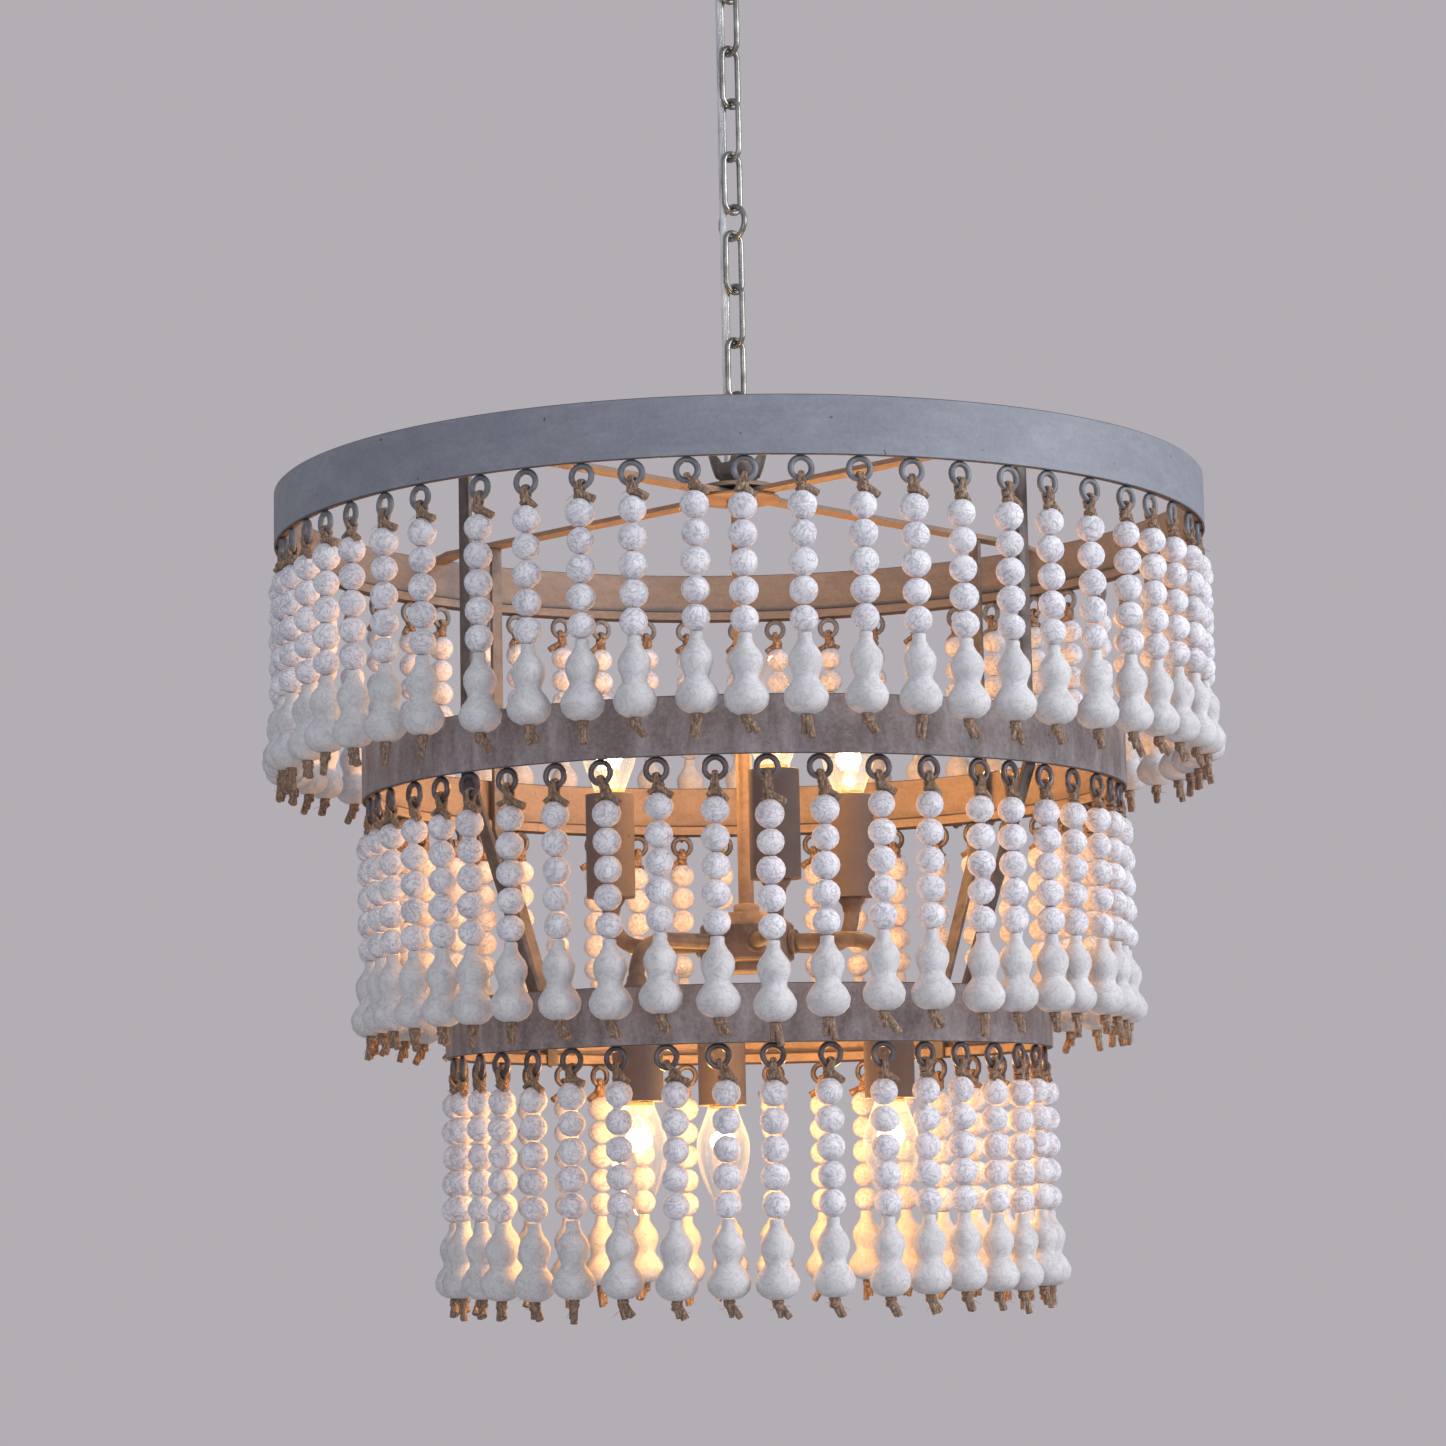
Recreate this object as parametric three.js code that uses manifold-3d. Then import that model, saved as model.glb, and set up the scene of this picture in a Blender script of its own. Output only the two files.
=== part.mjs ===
// A three-tier chandelier of wooden bead strands on painted hoops, hung from a ceiling canopy by a chain.
// Lengths are in millimetres and +Z is up. The origin lies on the ceiling, at the middle of the mounting bar.
// Azimuths are in degrees around Z: 0 points along -Y, 90 along +X.

import * as THREE from 'three';
import { mergeVertices } from 'three/addons/utils/BufferGeometryUtils.js';
import Module from 'manifold-3d';

const wasm = await Module();
wasm.setup();

// Clearances between touching pieces, and the overrun of a cutting solid
const seatGap = 0.3;
const cutOverrun = 1;

// Ceiling mounting
const barLength = 96;
const barWidth = 22;
const barThickness = 3;
const barSlotLength = 14;
const barSlotWidth = 5;
const barEndMargin = 6;
const nippleRadius = 5;
const nippleBore = 3;
const canopyRadius = 62;
const canopyDepth = 26;
const canopyWall = 1.2;
const canopyShoulderRadius = 46;
const canopyFlatRadius = 16;
const collarRadius = 12.5;
const collarHeight = 9;
const collarSocketDepth = 3;
const cordSocketDepth = 5;

// Chain
const linkWire = 3.8;
const linkWidth = 18;
const chainPitch = 36;
const linksAboveRing = 5;
const linksBelowRing = 3;
const ringWidth = 25.5;
const loopWidth = 20;
const firstLinkAzimuth = 45;

// Supply cord
const cordRadius = 2.3;

// Hanging loop and top hub
const hangingLoopLength = 36.4;
const coneTopRadius = 24;
const coneFootRadius = 11;
const coneHeight = 29;
const topHubRadius = 25;
const topHubBevel = 1;
const topHubRise = 6.5;
const barRise = 2.5;

// Cross bars and hangers
const crossBarWidth = 13;
const crossBarThickness = 3;
const frameAzimuth = 46;
const hangerWidth = 9;
const hangerThickness = 3;

// Hoops, and the eyelet strip riveted inside each one's lower edge
const hoopHeight = 35;
const hoopThickness = 1.6;
const stripHeight = 8;
const stripThickness = 2.6;
const tierSpacing = 163.5;
const topHoopRadius = 300;
const middleHoopInset = 55;
const lowerHoopInset = 52;
const middleHoopRadius = topHoopRadius - middleHoopInset;
const lowerHoopRadius = middleHoopRadius - lowerHoopInset;
const tiers = [
  { name: 'top', radius: topHoopRadius, strands: 56, azimuth: 0.75 },
  { name: 'middle', radius: middleHoopRadius, strands: 48, azimuth: -3.94 },
  { name: 'lower', radius: lowerHoopRadius, strands: 38, azimuth: 4.22 },
];
const strandsPerFacet = 2;
const curtainsPerTier = 4;

// Eyelets and bead strands
const eyeletDiameter = 15.5;
const eyeletWire = 3.3;
const eyeletSink = 0.6;
const twineSink = 0.8;
const twineRadius = 1.4;
const strandDrop = 29;
const beadsPerStrand = 5;
const beadDiameter = 16.5;
const beadPitch = 16.2;
const gourdLength = 46.5;
const gourdNeckRadius = 4;
const gourdShoulderRadius = 9.4;
const gourdWaistRadius = 7;
const gourdBellyRadius = 12;
const gourdShoulderShare = 0.34;
const gourdWaistShare = 0.55;
const gourdBellyShare = 0.78;

// Candelabra
const stemRadius = 5;
const lowerHubCentre = 291;
const lowerHubRadius = 30;
const lowerHubHeight = 38;
const lowerHubStep = 7;
const lowerHubStepRadius = 20;
const armCount = 6;
const firstArmAzimuth = 11.5;
const candleRadius = 92.6;
const armRadius = 5;
const armBend = 26;
const cupRadius = 9;
const cupHeight = 9;
const sleeveRadius = 15.8;
const sleeveLength = 68;
const sleeveRise = 33;
const socketDepth = 30;
const socketRadius = 9.5;
const bulbBaseRadius = 8.6;
const bulbBaseLength = 30;
const bulbRadius = 17.5;
const bulbLength = 71;
const bulbNeckRadius = 9.5;
const bulbShoulderShare = 0.38;
const bulbTaperShare = 0.62;
const bulbTaperRadius = 15;
const bulbTipShare = 0.86;
const bulbTipRadius = 7;

// Faces round each form
const fineSides = 16;
const turnedSides = 12;
const wireSides = 6;
const beadSides = 4;
const twineSides = 3;
const bulbSides = 8;
const tubeSides = 8;
const armSides = 6;
const armSteps = 6;
const cordSteps = 2;
const loopSides = 10;
const linkSides = 8;
const linkWireSides = 5;
const eyeletWireSides = 4;

const radians = THREE.MathUtils.degToRad;

const finishes = {
  paint: { color: 0x7d8592, roughness: 0.75, metalness: 0.1 },
  chain: { color: 0x6f6f6c, roughness: 0.4, metalness: 0.8 },
  iron: { color: 0x5d5450, roughness: 0.6, metalness: 0.4 },
  bead: { color: 0xd9d6d4, roughness: 0.85, metalness: 0 },
  sleeve: { color: 0x6a605d, roughness: 0.8, metalness: 0 },
  glass: { color: 0xfff1d6, roughness: 0.05, metalness: 0, transparent: true, opacity: 0.5 },
  cord: { color: 0xcfd2d2, roughness: 0.3, metalness: 0 },
};

const part = new THREE.Group();

function addPiece(name, geometry, finish, parent = part) {
  const mesh = new THREE.Mesh(geometry, new THREE.MeshStandardMaterial(finishes[finish]));
  mesh.name = name;
  parent.add(mesh);
  return mesh;
}

// Closed geometry to and from a manifold solid
function toSolid(geometry) {
  const bare = geometry.clone();
  bare.deleteAttribute('normal');
  bare.deleteAttribute('uv');
  const merged = mergeVertices(bare, 1e-4);
  const vertProperties = new Float32Array(merged.attributes.position.array);
  const triVerts = new Uint32Array(merged.index.array);
  return new wasm.Manifold(new wasm.Mesh({ numProp: 3, vertProperties, triVerts }));
}

function toGeometry(solid) {
  const mesh = solid.getMesh();
  const geometry = new THREE.BufferGeometry();
  const places = new Float32Array(mesh.numVert * 3);
  for (let i = 0; i < mesh.numVert; i += 1) {
    places.set(mesh.vertProperties.slice(i * mesh.numProp, i * mesh.numProp + 3), i * 3);
  }
  geometry.setAttribute('position', new THREE.BufferAttribute(places, 3));
  geometry.setIndex(new THREE.BufferAttribute(new Uint32Array(mesh.triVerts), 1));
  geometry.computeVertexNormals();
  return geometry;
}

function join(geometries) {
  return toGeometry(geometries.map(toSolid).reduce((whole, piece) => whole.add(piece)));
}

function cut(geometry, tools) {
  return toGeometry(tools.map(toSolid).reduce((whole, tool) => whole.subtract(tool), toSolid(geometry)));
}

// Where a point at a radius and height lies at an azimuth
function polar(radius, azimuth, height = 0) {
  const angle = radians(azimuth);
  return new THREE.Vector3(radius * Math.sin(angle), -radius * Math.cos(angle), height);
}

// A frame whose X axis points outwards along an azimuth, at a radius and height
function outwardMatrix(radius, azimuth, height) {
  const place = polar(radius, azimuth, height);
  return new THREE.Matrix4().makeRotationZ(radians(azimuth - 90)).setPosition(place);
}

// A solid of revolution about Z from [radius, height] pairs that start and end on the axis
function turned(profile, sides) {
  const points = profile.map(([radius, height]) => new THREE.Vector2(radius, height));
  return new THREE.LatheGeometry(points, sides).rotateX(Math.PI / 2);
}

// The same from pairs that close on themselves round a bore
function turnedRing(profile, sides) {
  return turned([...profile, profile[0]], sides);
}

function upright(radius, low, high, sides) {
  return turned([[0, low], [radius, low], [radius, high], [0, high]], sides);
}

// The circumradius of a polygon that covers as much as a circle
function evenRadius(radius, sides) {
  const share = (sides / 2) * Math.sin((2 * Math.PI) / sides);
  return radius * Math.sqrt(Math.PI / share);
}

// A loft down a line of polygons, whose side counts may differ, each { height, radius, sides, turn }
function loft(rings) {
  const places = [];
  const faces = [];
  const ids = rings.map((ring) => ringPoints(ring, places));
  fan(ids[0], faces);
  fan([...ids.at(-1)].reverse(), faces);
  loftSides(rings, ids, faces);
  return toFaces(places, faces);
}

// Adds a ring's corners, one of them alone at a tip, and returns their numbers
function ringPoints({ height, radius, sides, turn }, places) {
  return Array.from({ length: sides }, (_, k) => {
    const angle = turn + (2 * Math.PI * k) / sides;
    places.push(radius * Math.cos(angle), radius * Math.sin(angle), height);
    return places.length / 3 - 1;
  });
}

function fan(corners, faces) {
  for (let k = 1; k < corners.length - 1; k += 1) {
    faces.push(corners[0], corners[k], corners[k + 1]);
  }
}

function loftSides(rings, ids, faces) {
  for (let n = 0; n < rings.length - 1; n += 1) {
    stitch(rings[n], ids[n], rings[n + 1], ids[n + 1], faces);
  }
}

// Triangles between an upper and a lower polygon, going round both together
function stitch(upper, upperIds, lower, lowerIds, faces) {
  const steps = (ring) => (ring.sides === 1 ? 0 : ring.sides);
  let i = 0;
  let j = 0;
  while (i < steps(upper) || j < steps(lower)) {
    const a = upperIds[i % upper.sides];
    const b = lowerIds[j % lower.sides];
    const nextUpper = upper.turn + (2 * Math.PI * (i + 1)) / upper.sides;
    const nextLower = lower.turn + (2 * Math.PI * (j + 1)) / lower.sides;
    const upperFirst = j >= steps(lower) || (i < steps(upper) && nextUpper <= nextLower);
    if (upperFirst) {
      i += 1;
      faces.push(a, b, upperIds[i % upper.sides]);
    } else {
      j += 1;
      faces.push(a, b, lowerIds[j % lower.sides]);
    }
  }
}

function toFaces(places, faces) {
  const geometry = new THREE.BufferGeometry();
  geometry.setAttribute('position', new THREE.Float32BufferAttribute(places, 3));
  geometry.setIndex(faces);
  geometry.computeVertexNormals();
  return geometry;
}

// A wire bent into a closed loop in the XZ plane, from its centre line and the way outwards at each point
function wireLoop(path, wireRadius, sides, turn = 0) {
  const places = [];
  const faces = [];
  path.forEach(({ x, z, outX, outZ }) => {
    for (let k = 0; k < sides; k += 1) {
      const angle = turn + (2 * Math.PI * k) / sides;
      const out = wireRadius * Math.cos(angle);
      places.push(x + out * outX, wireRadius * Math.sin(angle), z + out * outZ);
    }
  });
  path.forEach((_, n) => {
    const here = n * sides;
    const next = ((n + 1) % path.length) * sides;
    for (let k = 0; k < sides; k += 1) {
      const after = (k + 1) % sides;
      faces.push(here + k, here + after, next + k);
      faces.push(here + after, next + after, next + k);
    }
  });
  return toFaces(places, faces);
}

// Points round a loop with straight sides and rounded ends, `halfReach` from its middle to each end.
// Its corners are mitred, so that the wire keeps its width and its flats keep their distance.
function loopPath(halfWidth, halfReach, corners) {
  const path = [];
  const mitre = 1 / Math.cos(Math.PI / corners);
  for (let k = 0; k < corners; k += 1) {
    const angle = (2 * Math.PI * (k + 0.5)) / corners;
    const outX = mitre * Math.cos(angle);
    const outZ = mitre * Math.sin(angle);
    const straight = Math.sign(outZ) * (halfReach - halfWidth);
    path.push({ x: halfWidth * outX, z: straight + halfWidth * outZ, outX, outZ });
  }
  return path;
}

// Heights, counted down from the ceiling
const canopyFoot = -canopyDepth;
const collarTop = canopyFoot - seatGap;
const collarFoot = collarTop - collarHeight;
const loopHalf = loopWidth / 2 - linkWire / 2;
const ceilingLoopMiddle = collarFoot - loopHalf;
const ceilingLoopSeat = ceilingLoopMiddle - loopHalf;
const wireStep = linkWire + seatGap;
const linkHalf = (chainPitch + wireStep) / 2;
const ringHalf = ringWidth / 2 - linkWire / 2;

// Each link's top end hangs in the seat of the piece above it
function chainPlan() {
  const plan = [];
  let seat = ceilingLoopSeat;
  let azimuth = firstLinkAzimuth;
  const total = linksAboveRing + 1 + linksBelowRing;
  let count = 0;
  for (let n = 0; n < total; n += 1) {
    const isRing = n === linksAboveRing;
    const half = isRing ? ringHalf : linkHalf;
    const middle = seat + wireStep - half;
    count += isRing ? 0 : 1;
    plan.push({ name: isRing ? 'joining_ring' : `chain_link_${count}`, isRing, middle, azimuth, seat });
    seat = middle - half;
    azimuth = -azimuth;
  }
  return { links: plan, lastSeat: seat, lastAzimuth: azimuth };
}
const chain = chainPlan();
const hangingHalf = hangingLoopLength / 2 - linkWire / 2;
const hangingLoopMiddle = chain.lastSeat + wireStep - hangingHalf;
const coneTop = hangingLoopMiddle - hangingHalf;
const coneFoot = coneTop - coneHeight;
const topHubTop = coneFoot - seatGap;
const hoopTop = topHubTop - topHubRise;
const crossBarTop = hoopTop + barRise;

// The way that a piece's own plane faces, for a loop that lies in its local XZ plane
function loopMatrix(middle, azimuth) {
  return new THREE.Matrix4().makeRotationZ(radians(azimuth)).setPosition(0, 0, middle);
}

// The cord runs straight down in the quarter between the crossed links
const cordOffset = (linkWire / 2 + cordRadius + seatGap) * Math.SQRT2;
const cordTop = collarFoot + cordSocketDepth - seatGap;
const cordFoot = coneTop - cordSocketDepth + seatGap;

function cordSocket(low, high) {
  const socket = upright(cordRadius + seatGap, low, high, wireSides + 2);
  return socket.translate(-cordOffset, 0, 0);
}

function buildCeiling() {
  const bar = new THREE.BoxGeometry(barLength, barWidth, barThickness).translate(0, 0, -barThickness / 2);
  const slot = new THREE.BoxGeometry(barSlotLength, barSlotWidth, barThickness + 2 * cutOverrun);
  slot.translate(0, 0, -barThickness / 2);
  const slotPlace = barLength / 2 - barEndMargin - barSlotLength / 2;
  const slots = [-1, 1].map((side) => slot.clone().translate(side * slotPlace, 0, 0));
  const holeRadius = nippleRadius + seatGap;
  const hole = upright(holeRadius, -barThickness - cutOverrun, cutOverrun, tubeSides);
  addPiece('mounting_bar', cut(bar, [...slots, hole]), 'iron');

  const nippleFoot = collarTop - collarSocketDepth + seatGap;
  const nipple = turnedRing(
    [
      [nippleBore, nippleFoot],
      [nippleRadius, nippleFoot],
      [nippleRadius, -seatGap],
      [nippleBore, -seatGap],
    ],
    tubeSides,
  );
  addPiece('threaded_nipple', nipple, 'iron');

  const innerRadius = canopyRadius - canopyWall;
  const innerShoulder = canopyShoulderRadius - canopyWall;
  const waist = canopyFoot / 2;
  const canopy = turnedRing(
    [
      [holeRadius, canopyFoot],
      [canopyShoulderRadius, canopyFoot],
      [canopyRadius, waist],
      [canopyRadius, -seatGap],
      [innerRadius, -seatGap],
      [innerRadius, waist],
      [innerShoulder, canopyFoot + canopyWall],
      [holeRadius, canopyFoot + canopyWall],
    ],
    fineSides,
  );
  addPiece('canopy', canopy, 'paint');
  buildCanopyLoop(holeRadius);
}

function buildCanopyLoop(holeRadius) {
  const collar = turned(
    [[0, collarFoot], [collarRadius, collarFoot], [canopyFlatRadius, collarTop], [0, collarTop]],
    turnedSides,
  );
  const loop = wireLoop(loopPath(loopHalf, loopHalf, loopSides), linkWire / 2, wireSides);
  loop.applyMatrix4(loopMatrix(ceilingLoopMiddle, -firstLinkAzimuth));
  const joined = join([collar, loop]);
  const nippleSocket = upright(holeRadius, collarTop - collarSocketDepth, collarTop + cutOverrun, tubeSides);
  const sockets = [nippleSocket, cordSocket(collarFoot - cutOverrun, cordTop + seatGap)];
  addPiece('canopy_loop', cut(joined, sockets), 'chain');
}

function buildChain() {
  chain.links.forEach(({ name, isRing, middle, azimuth }) => {
    const path = isRing
      ? loopPath(ringHalf, ringHalf, loopSides)
      : loopPath(linkWidth / 2 - linkWire / 2, linkHalf, linkSides);
    const link = wireLoop(path, linkWire / 2, linkWireSides);
    addPiece(name, link.applyMatrix4(loopMatrix(middle, azimuth)), 'chain');
  });
}

function buildCord() {
  const route = new THREE.CatmullRomCurve3([
    new THREE.Vector3(-cordOffset, 0, cordTop),
    new THREE.Vector3(-cordOffset, 0, (cordTop + cordFoot) / 2),
    new THREE.Vector3(-cordOffset, 0, cordFoot),
  ]);
  const section = new THREE.Shape();
  section.absarc(0, 0, cordRadius, 0, 2 * Math.PI);
  const options = { steps: cordSteps, curveSegments: tubeSides / 2, extrudePath: route };
  const cord = new THREE.ExtrudeGeometry(section, options);
  addPiece('supply_cord', cord, 'cord');
}

function buildTopHub() {
  const cone = turned(
    [[0, coneFoot], [coneFootRadius, coneFoot], [coneTopRadius, coneTop], [0, coneTop]],
    turnedSides,
  );
  const path = loopPath(linkWidth / 2 - linkWire / 2, hangingHalf, linkSides);
  const loop = wireLoop(path, linkWire / 2, wireSides);
  loop.applyMatrix4(loopMatrix(hangingLoopMiddle, chain.lastAzimuth));
  const joined = join([cone, loop]);
  addPiece('hanging_loop', cut(joined, [cordSocket(cordFoot - seatGap, coneTop + cutOverrun)]), 'chain');

  const hubFoot = crossBarTop + seatGap;
  const rim = topHubRadius - topHubBevel;
  const hub = turned(
    [
      [0, hubFoot],
      [topHubRadius, hubFoot],
      [topHubRadius, topHubTop - topHubBevel],
      [rim, topHubTop],
      [0, topHubTop],
    ],
    fineSides,
  );
  addPiece('top_hub', hub, 'paint');
}

function facets(tier) {
  return tier.strands / strandsPerFacet;
}

// How far out a flat end of a given width may reach at an azimuth, inside a tier's polygon
function reachAt(tier, cornerRadius, azimuth, width) {
  const middleShare = (strandsPerFacet - 1) / strandsPerFacet / 2;
  const turns = ((azimuth - tier.azimuth) * facets(tier)) / 360 - middleShare;
  const offset = (2 * Math.PI * (turns - Math.round(turns))) / facets(tier);
  const flat = cornerRadius * Math.cos(Math.PI / facets(tier));
  return flat / Math.cos(offset) - (width / 2) * Math.abs(Math.tan(offset)) - seatGap;
}

// The strip's outer corners lie behind the hoop's inner face
function stripCorner(tier) {
  return tier.radius - hoopThickness - seatGap / Math.cos(Math.PI / facets(tier));
}

// Where the two bars cross, the first is halved from below and the second from above
function halvingNotch(side) {
  const notch = new THREE.BoxGeometry(
    crossBarWidth + 2 * seatGap,
    crossBarWidth + 2 * cutOverrun,
    crossBarThickness,
  );
  return notch.translate(0, 0, (side * (crossBarThickness - seatGap)) / 2);
}

function buildCrossBars() {
  [-1, 1].forEach((side, n) => {
    const azimuth = frameAzimuth + 90 * n;
    const length = 2 * reachAt(tiers[0], topHoopRadius - hoopThickness, azimuth, crossBarWidth);
    const whole = new THREE.BoxGeometry(length, crossBarWidth, crossBarThickness);
    const bar = cut(whole, [halvingNotch(side)]).rotateZ(radians(azimuth - 90));
    addPiece(`cross_bar_${n + 1}`, bar.translate(0, 0, crossBarTop - crossBarThickness / 2), 'iron');
  });
}

// A flat bar bent twice: down from the cross bar, along the middle hoop, inwards, and along the lower hoop
function buildHangers() {
  [0, 1, 2, 3].forEach((n) => {
    const azimuth = frameAzimuth + 90 * n;
    const stripFace = (tier) => stripCorner(tier) - stripThickness;
    const outer = reachAt(tiers[1], stripFace(tiers[1]), azimuth, hangerWidth);
    const inner = reachAt(tiers[2], stripFace(tiers[2]), azimuth, hangerWidth);
    const outline = hangerOutline(crossBarTop - crossBarThickness - seatGap, outer, inner);
    const hanger = new THREE.ExtrudeGeometry(outline, { depth: hangerWidth, bevelEnabled: false });
    hanger.translate(0, 0, -hangerWidth / 2).rotateX(Math.PI / 2);
    hanger.rotateZ(radians(azimuth - 90));
    addPiece(`hanger_${n + 1}`, hanger, 'iron');
  });
}

function hangerOutline(top, outer, inner) {
  const middleFoot = hoopTop - tierSpacing - hoopHeight;
  const lowerTop = hoopTop - 2 * tierSpacing;
  const lowerFoot = lowerTop - hoopHeight;
  const slant = Math.hypot(outer - inner, middleFoot - lowerTop);
  const lean = (hangerThickness * (outer - inner)) / slant / 2;
  return new THREE.Shape([
    new THREE.Vector2(outer, top),
    new THREE.Vector2(outer, middleFoot - lean),
    new THREE.Vector2(inner, lowerTop - lean),
    new THREE.Vector2(inner, lowerFoot),
    new THREE.Vector2(inner - hangerThickness, lowerFoot),
    new THREE.Vector2(inner - hangerThickness, lowerTop + lean),
    new THREE.Vector2(outer - hangerThickness, middleFoot + lean),
    new THREE.Vector2(outer - hangerThickness, top),
  ]);
}

// A corner of a tier's polygon, just before the strand of that number
function flatsCorner(tier, radius, index) {
  const azimuth = tier.azimuth + ((index - 0.5) * 360) / tier.strands;
  const place = polar(radius, azimuth);
  return new THREE.Vector2(place.x, place.y);
}

function ringOutline(tier, radius) {
  return Array.from({ length: facets(tier) }, (_, n) => flatsCorner(tier, radius, n * strandsPerFacet));
}

function buildHoop(tier, top) {
  const outline = new THREE.Shape(ringOutline(tier, tier.radius));
  outline.holes.push(new THREE.Path(ringOutline(tier, tier.radius - hoopThickness).reverse()));
  const hoop = new THREE.ExtrudeGeometry(outline, { depth: hoopHeight, bevelEnabled: false });
  addPiece(`${tier.name}_hoop`, hoop.translate(0, 0, top - hoopHeight), 'paint');
}

// Eyelet height, counted from the hoop's lower edge
const eyeletFoot = eyeletSink - eyeletDiameter;

// One strand's beads and gourd, hung down Z, as a twine's rings widening to the beads
function strandRings(head) {
  const turn = Math.PI / beadSides;
  const ball = (height, size) => {
    const radius = evenRadius(size, beadSides);
    return { height, radius, sides: beadSides, turn };
  };
  const waist = (height, radius) => ({ height, radius, sides: twineSides, turn: Math.PI / 2 });
  const beads = [];
  for (let n = 0; n < beadsPerStrand; n += 1) {
    beads.push(ball(-strandDrop - n * beadPitch, beadDiameter / 2));
    beads.push(waist(-strandDrop - (n + 0.5) * beadPitch, gourdNeckRadius));
  }
  const gourdTop = beads.at(-1).height;
  return [
    waist(head, twineRadius),
    waist(beadPitch / 2 - strandDrop, twineRadius),
    ...beads,
    ball(gourdTop - gourdShoulderShare * gourdLength, gourdShoulderRadius),
    waist(gourdTop - gourdWaistShare * gourdLength, gourdWaistRadius),
    ball(gourdTop - gourdBellyShare * gourdLength, gourdBellyRadius),
    { height: gourdTop - gourdLength, radius: 0, sides: 1, turn: 0 },
  ];
}

// The eyelet that a free strand hangs in, facing outwards
function eyelet() {
  const wireRadius = eyeletWire / 2;
  const half = eyeletDiameter / 2 - wireRadius;
  const ring = wireLoop(loopPath(half, half, loopSides), wireRadius, eyeletWireSides);
  return ring.rotateZ(Math.PI / 2).translate(0, 0, eyeletSink - eyeletDiameter / 2);
}

// An arc of the eyelet strip, from one corner of the tier's polygon to another
function stripArc(tier, from, to) {
  const outer = [];
  const inner = [];
  for (let n = from; n <= to; n += strandsPerFacet) {
    outer.push(flatsCorner(tier, stripCorner(tier), n));
    inner.unshift(flatsCorner(tier, stripCorner(tier) - stripThickness, n));
  }
  const outline = [...outer, ...inner];
  trimEnds(outline, outer.length);
  return new THREE.ExtrudeGeometry(new THREE.Shape(outline), { depth: stripHeight, bevelEnabled: false });
}

// Draws both ends of an arc in by half the seat gap
function trimEnds(outline, count) {
  const pull = (corner, neighbour) => {
    const step = neighbour.clone().sub(corner).setLength(seatGap / 2);
    corner.add(step);
  };
  pull(outline[0], outline[1]);
  pull(outline.at(-1), outline.at(-2));
  pull(outline[count - 1], outline[count - 2]);
  pull(outline[count], outline[count + 1]);
}

// How far out the strip's middle lies at a strand
function stripMiddle(tier) {
  const flat = (stripCorner(tier) - stripThickness / 2) * Math.cos(Math.PI / facets(tier));
  const offset = ((strandsPerFacet - 1) * Math.PI) / tier.strands;
  return flat / Math.cos(offset);
}

function buildCurtains(tier, hoopFoot) {
  const share = facets(tier) / curtainsPerTier;
  for (let c = 0; c < curtainsPerTier; c += 1) {
    const from = strandsPerFacet * Math.round((c - 0.5) * share);
    const to = strandsPerFacet * Math.round((c + 0.5) * share);
    const pieces = [stripArc(tier, from, to)];
    for (let n = from; n < to; n += 1) {
      const matrix = outwardMatrix(stripMiddle(tier), tier.azimuth + (n * 360) / tier.strands, 0);
      pieces.push((n === 0 ? eyelet() : loft(strandRings(twineSink))).applyMatrix4(matrix));
    }
    addPiece(`${tier.name}_curtain_${c + 1}`, join(pieces).translate(0, 0, hoopFoot), 'bead');
  }
}

// The front strand of each tier hangs by its own twine loop, free in its eyelet
function buildFreeStrand(tier, hoopFoot) {
  const loopInner = eyeletWire / 2 + 2 * seatGap;
  const loopRadius = loopInner + twineRadius;
  const pivot = eyeletFoot + eyeletWire / 2;
  const path = loopPath(loopRadius, loopRadius, wireSides);
  const loop = wireLoop(path, twineRadius, eyeletWireSides, Math.PI / eyeletWireSides);
  loop.translate(0, 0, pivot);
  const strand = join([loop, loft(strandRings(pivot - loopRadius))]);
  const matrix = outwardMatrix(stripMiddle(tier), tier.azimuth, hoopFoot);
  addPiece(`${tier.name}_front_strand`, strand.applyMatrix4(matrix), 'bead');
}

function buildTiers() {
  tiers.forEach((tier, n) => {
    const top = hoopTop - n * tierSpacing;
    buildHoop(tier, top);
    buildCurtains(tier, top - hoopHeight);
    buildFreeStrand(tier, top - hoopHeight);
  });
}

const candelabraHeight = hoopTop - lowerHubCentre;

function buildStem() {
  const stemTop = crossBarTop - crossBarThickness - seatGap;
  const hubTop = candelabraHeight + lowerHubHeight / 2;
  addPiece('stem', upright(stemRadius, hubTop + seatGap, stemTop, turnedSides), 'iron');
  const hubFoot = hubTop - lowerHubHeight;
  const hub = turned(
    [
      [0, hubFoot],
      [lowerHubStepRadius, hubFoot],
      [lowerHubStepRadius, hubFoot + lowerHubStep],
      [lowerHubRadius, hubFoot + lowerHubStep],
      [lowerHubRadius, hubTop - lowerHubStep],
      [lowerHubStepRadius, hubTop],
      [0, hubTop],
    ],
    turnedSides,
  );
  hub.rotateZ(radians(firstArmAzimuth) - Math.PI / turnedSides);
  addPiece('lower_hub', hub, 'iron');
}

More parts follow.
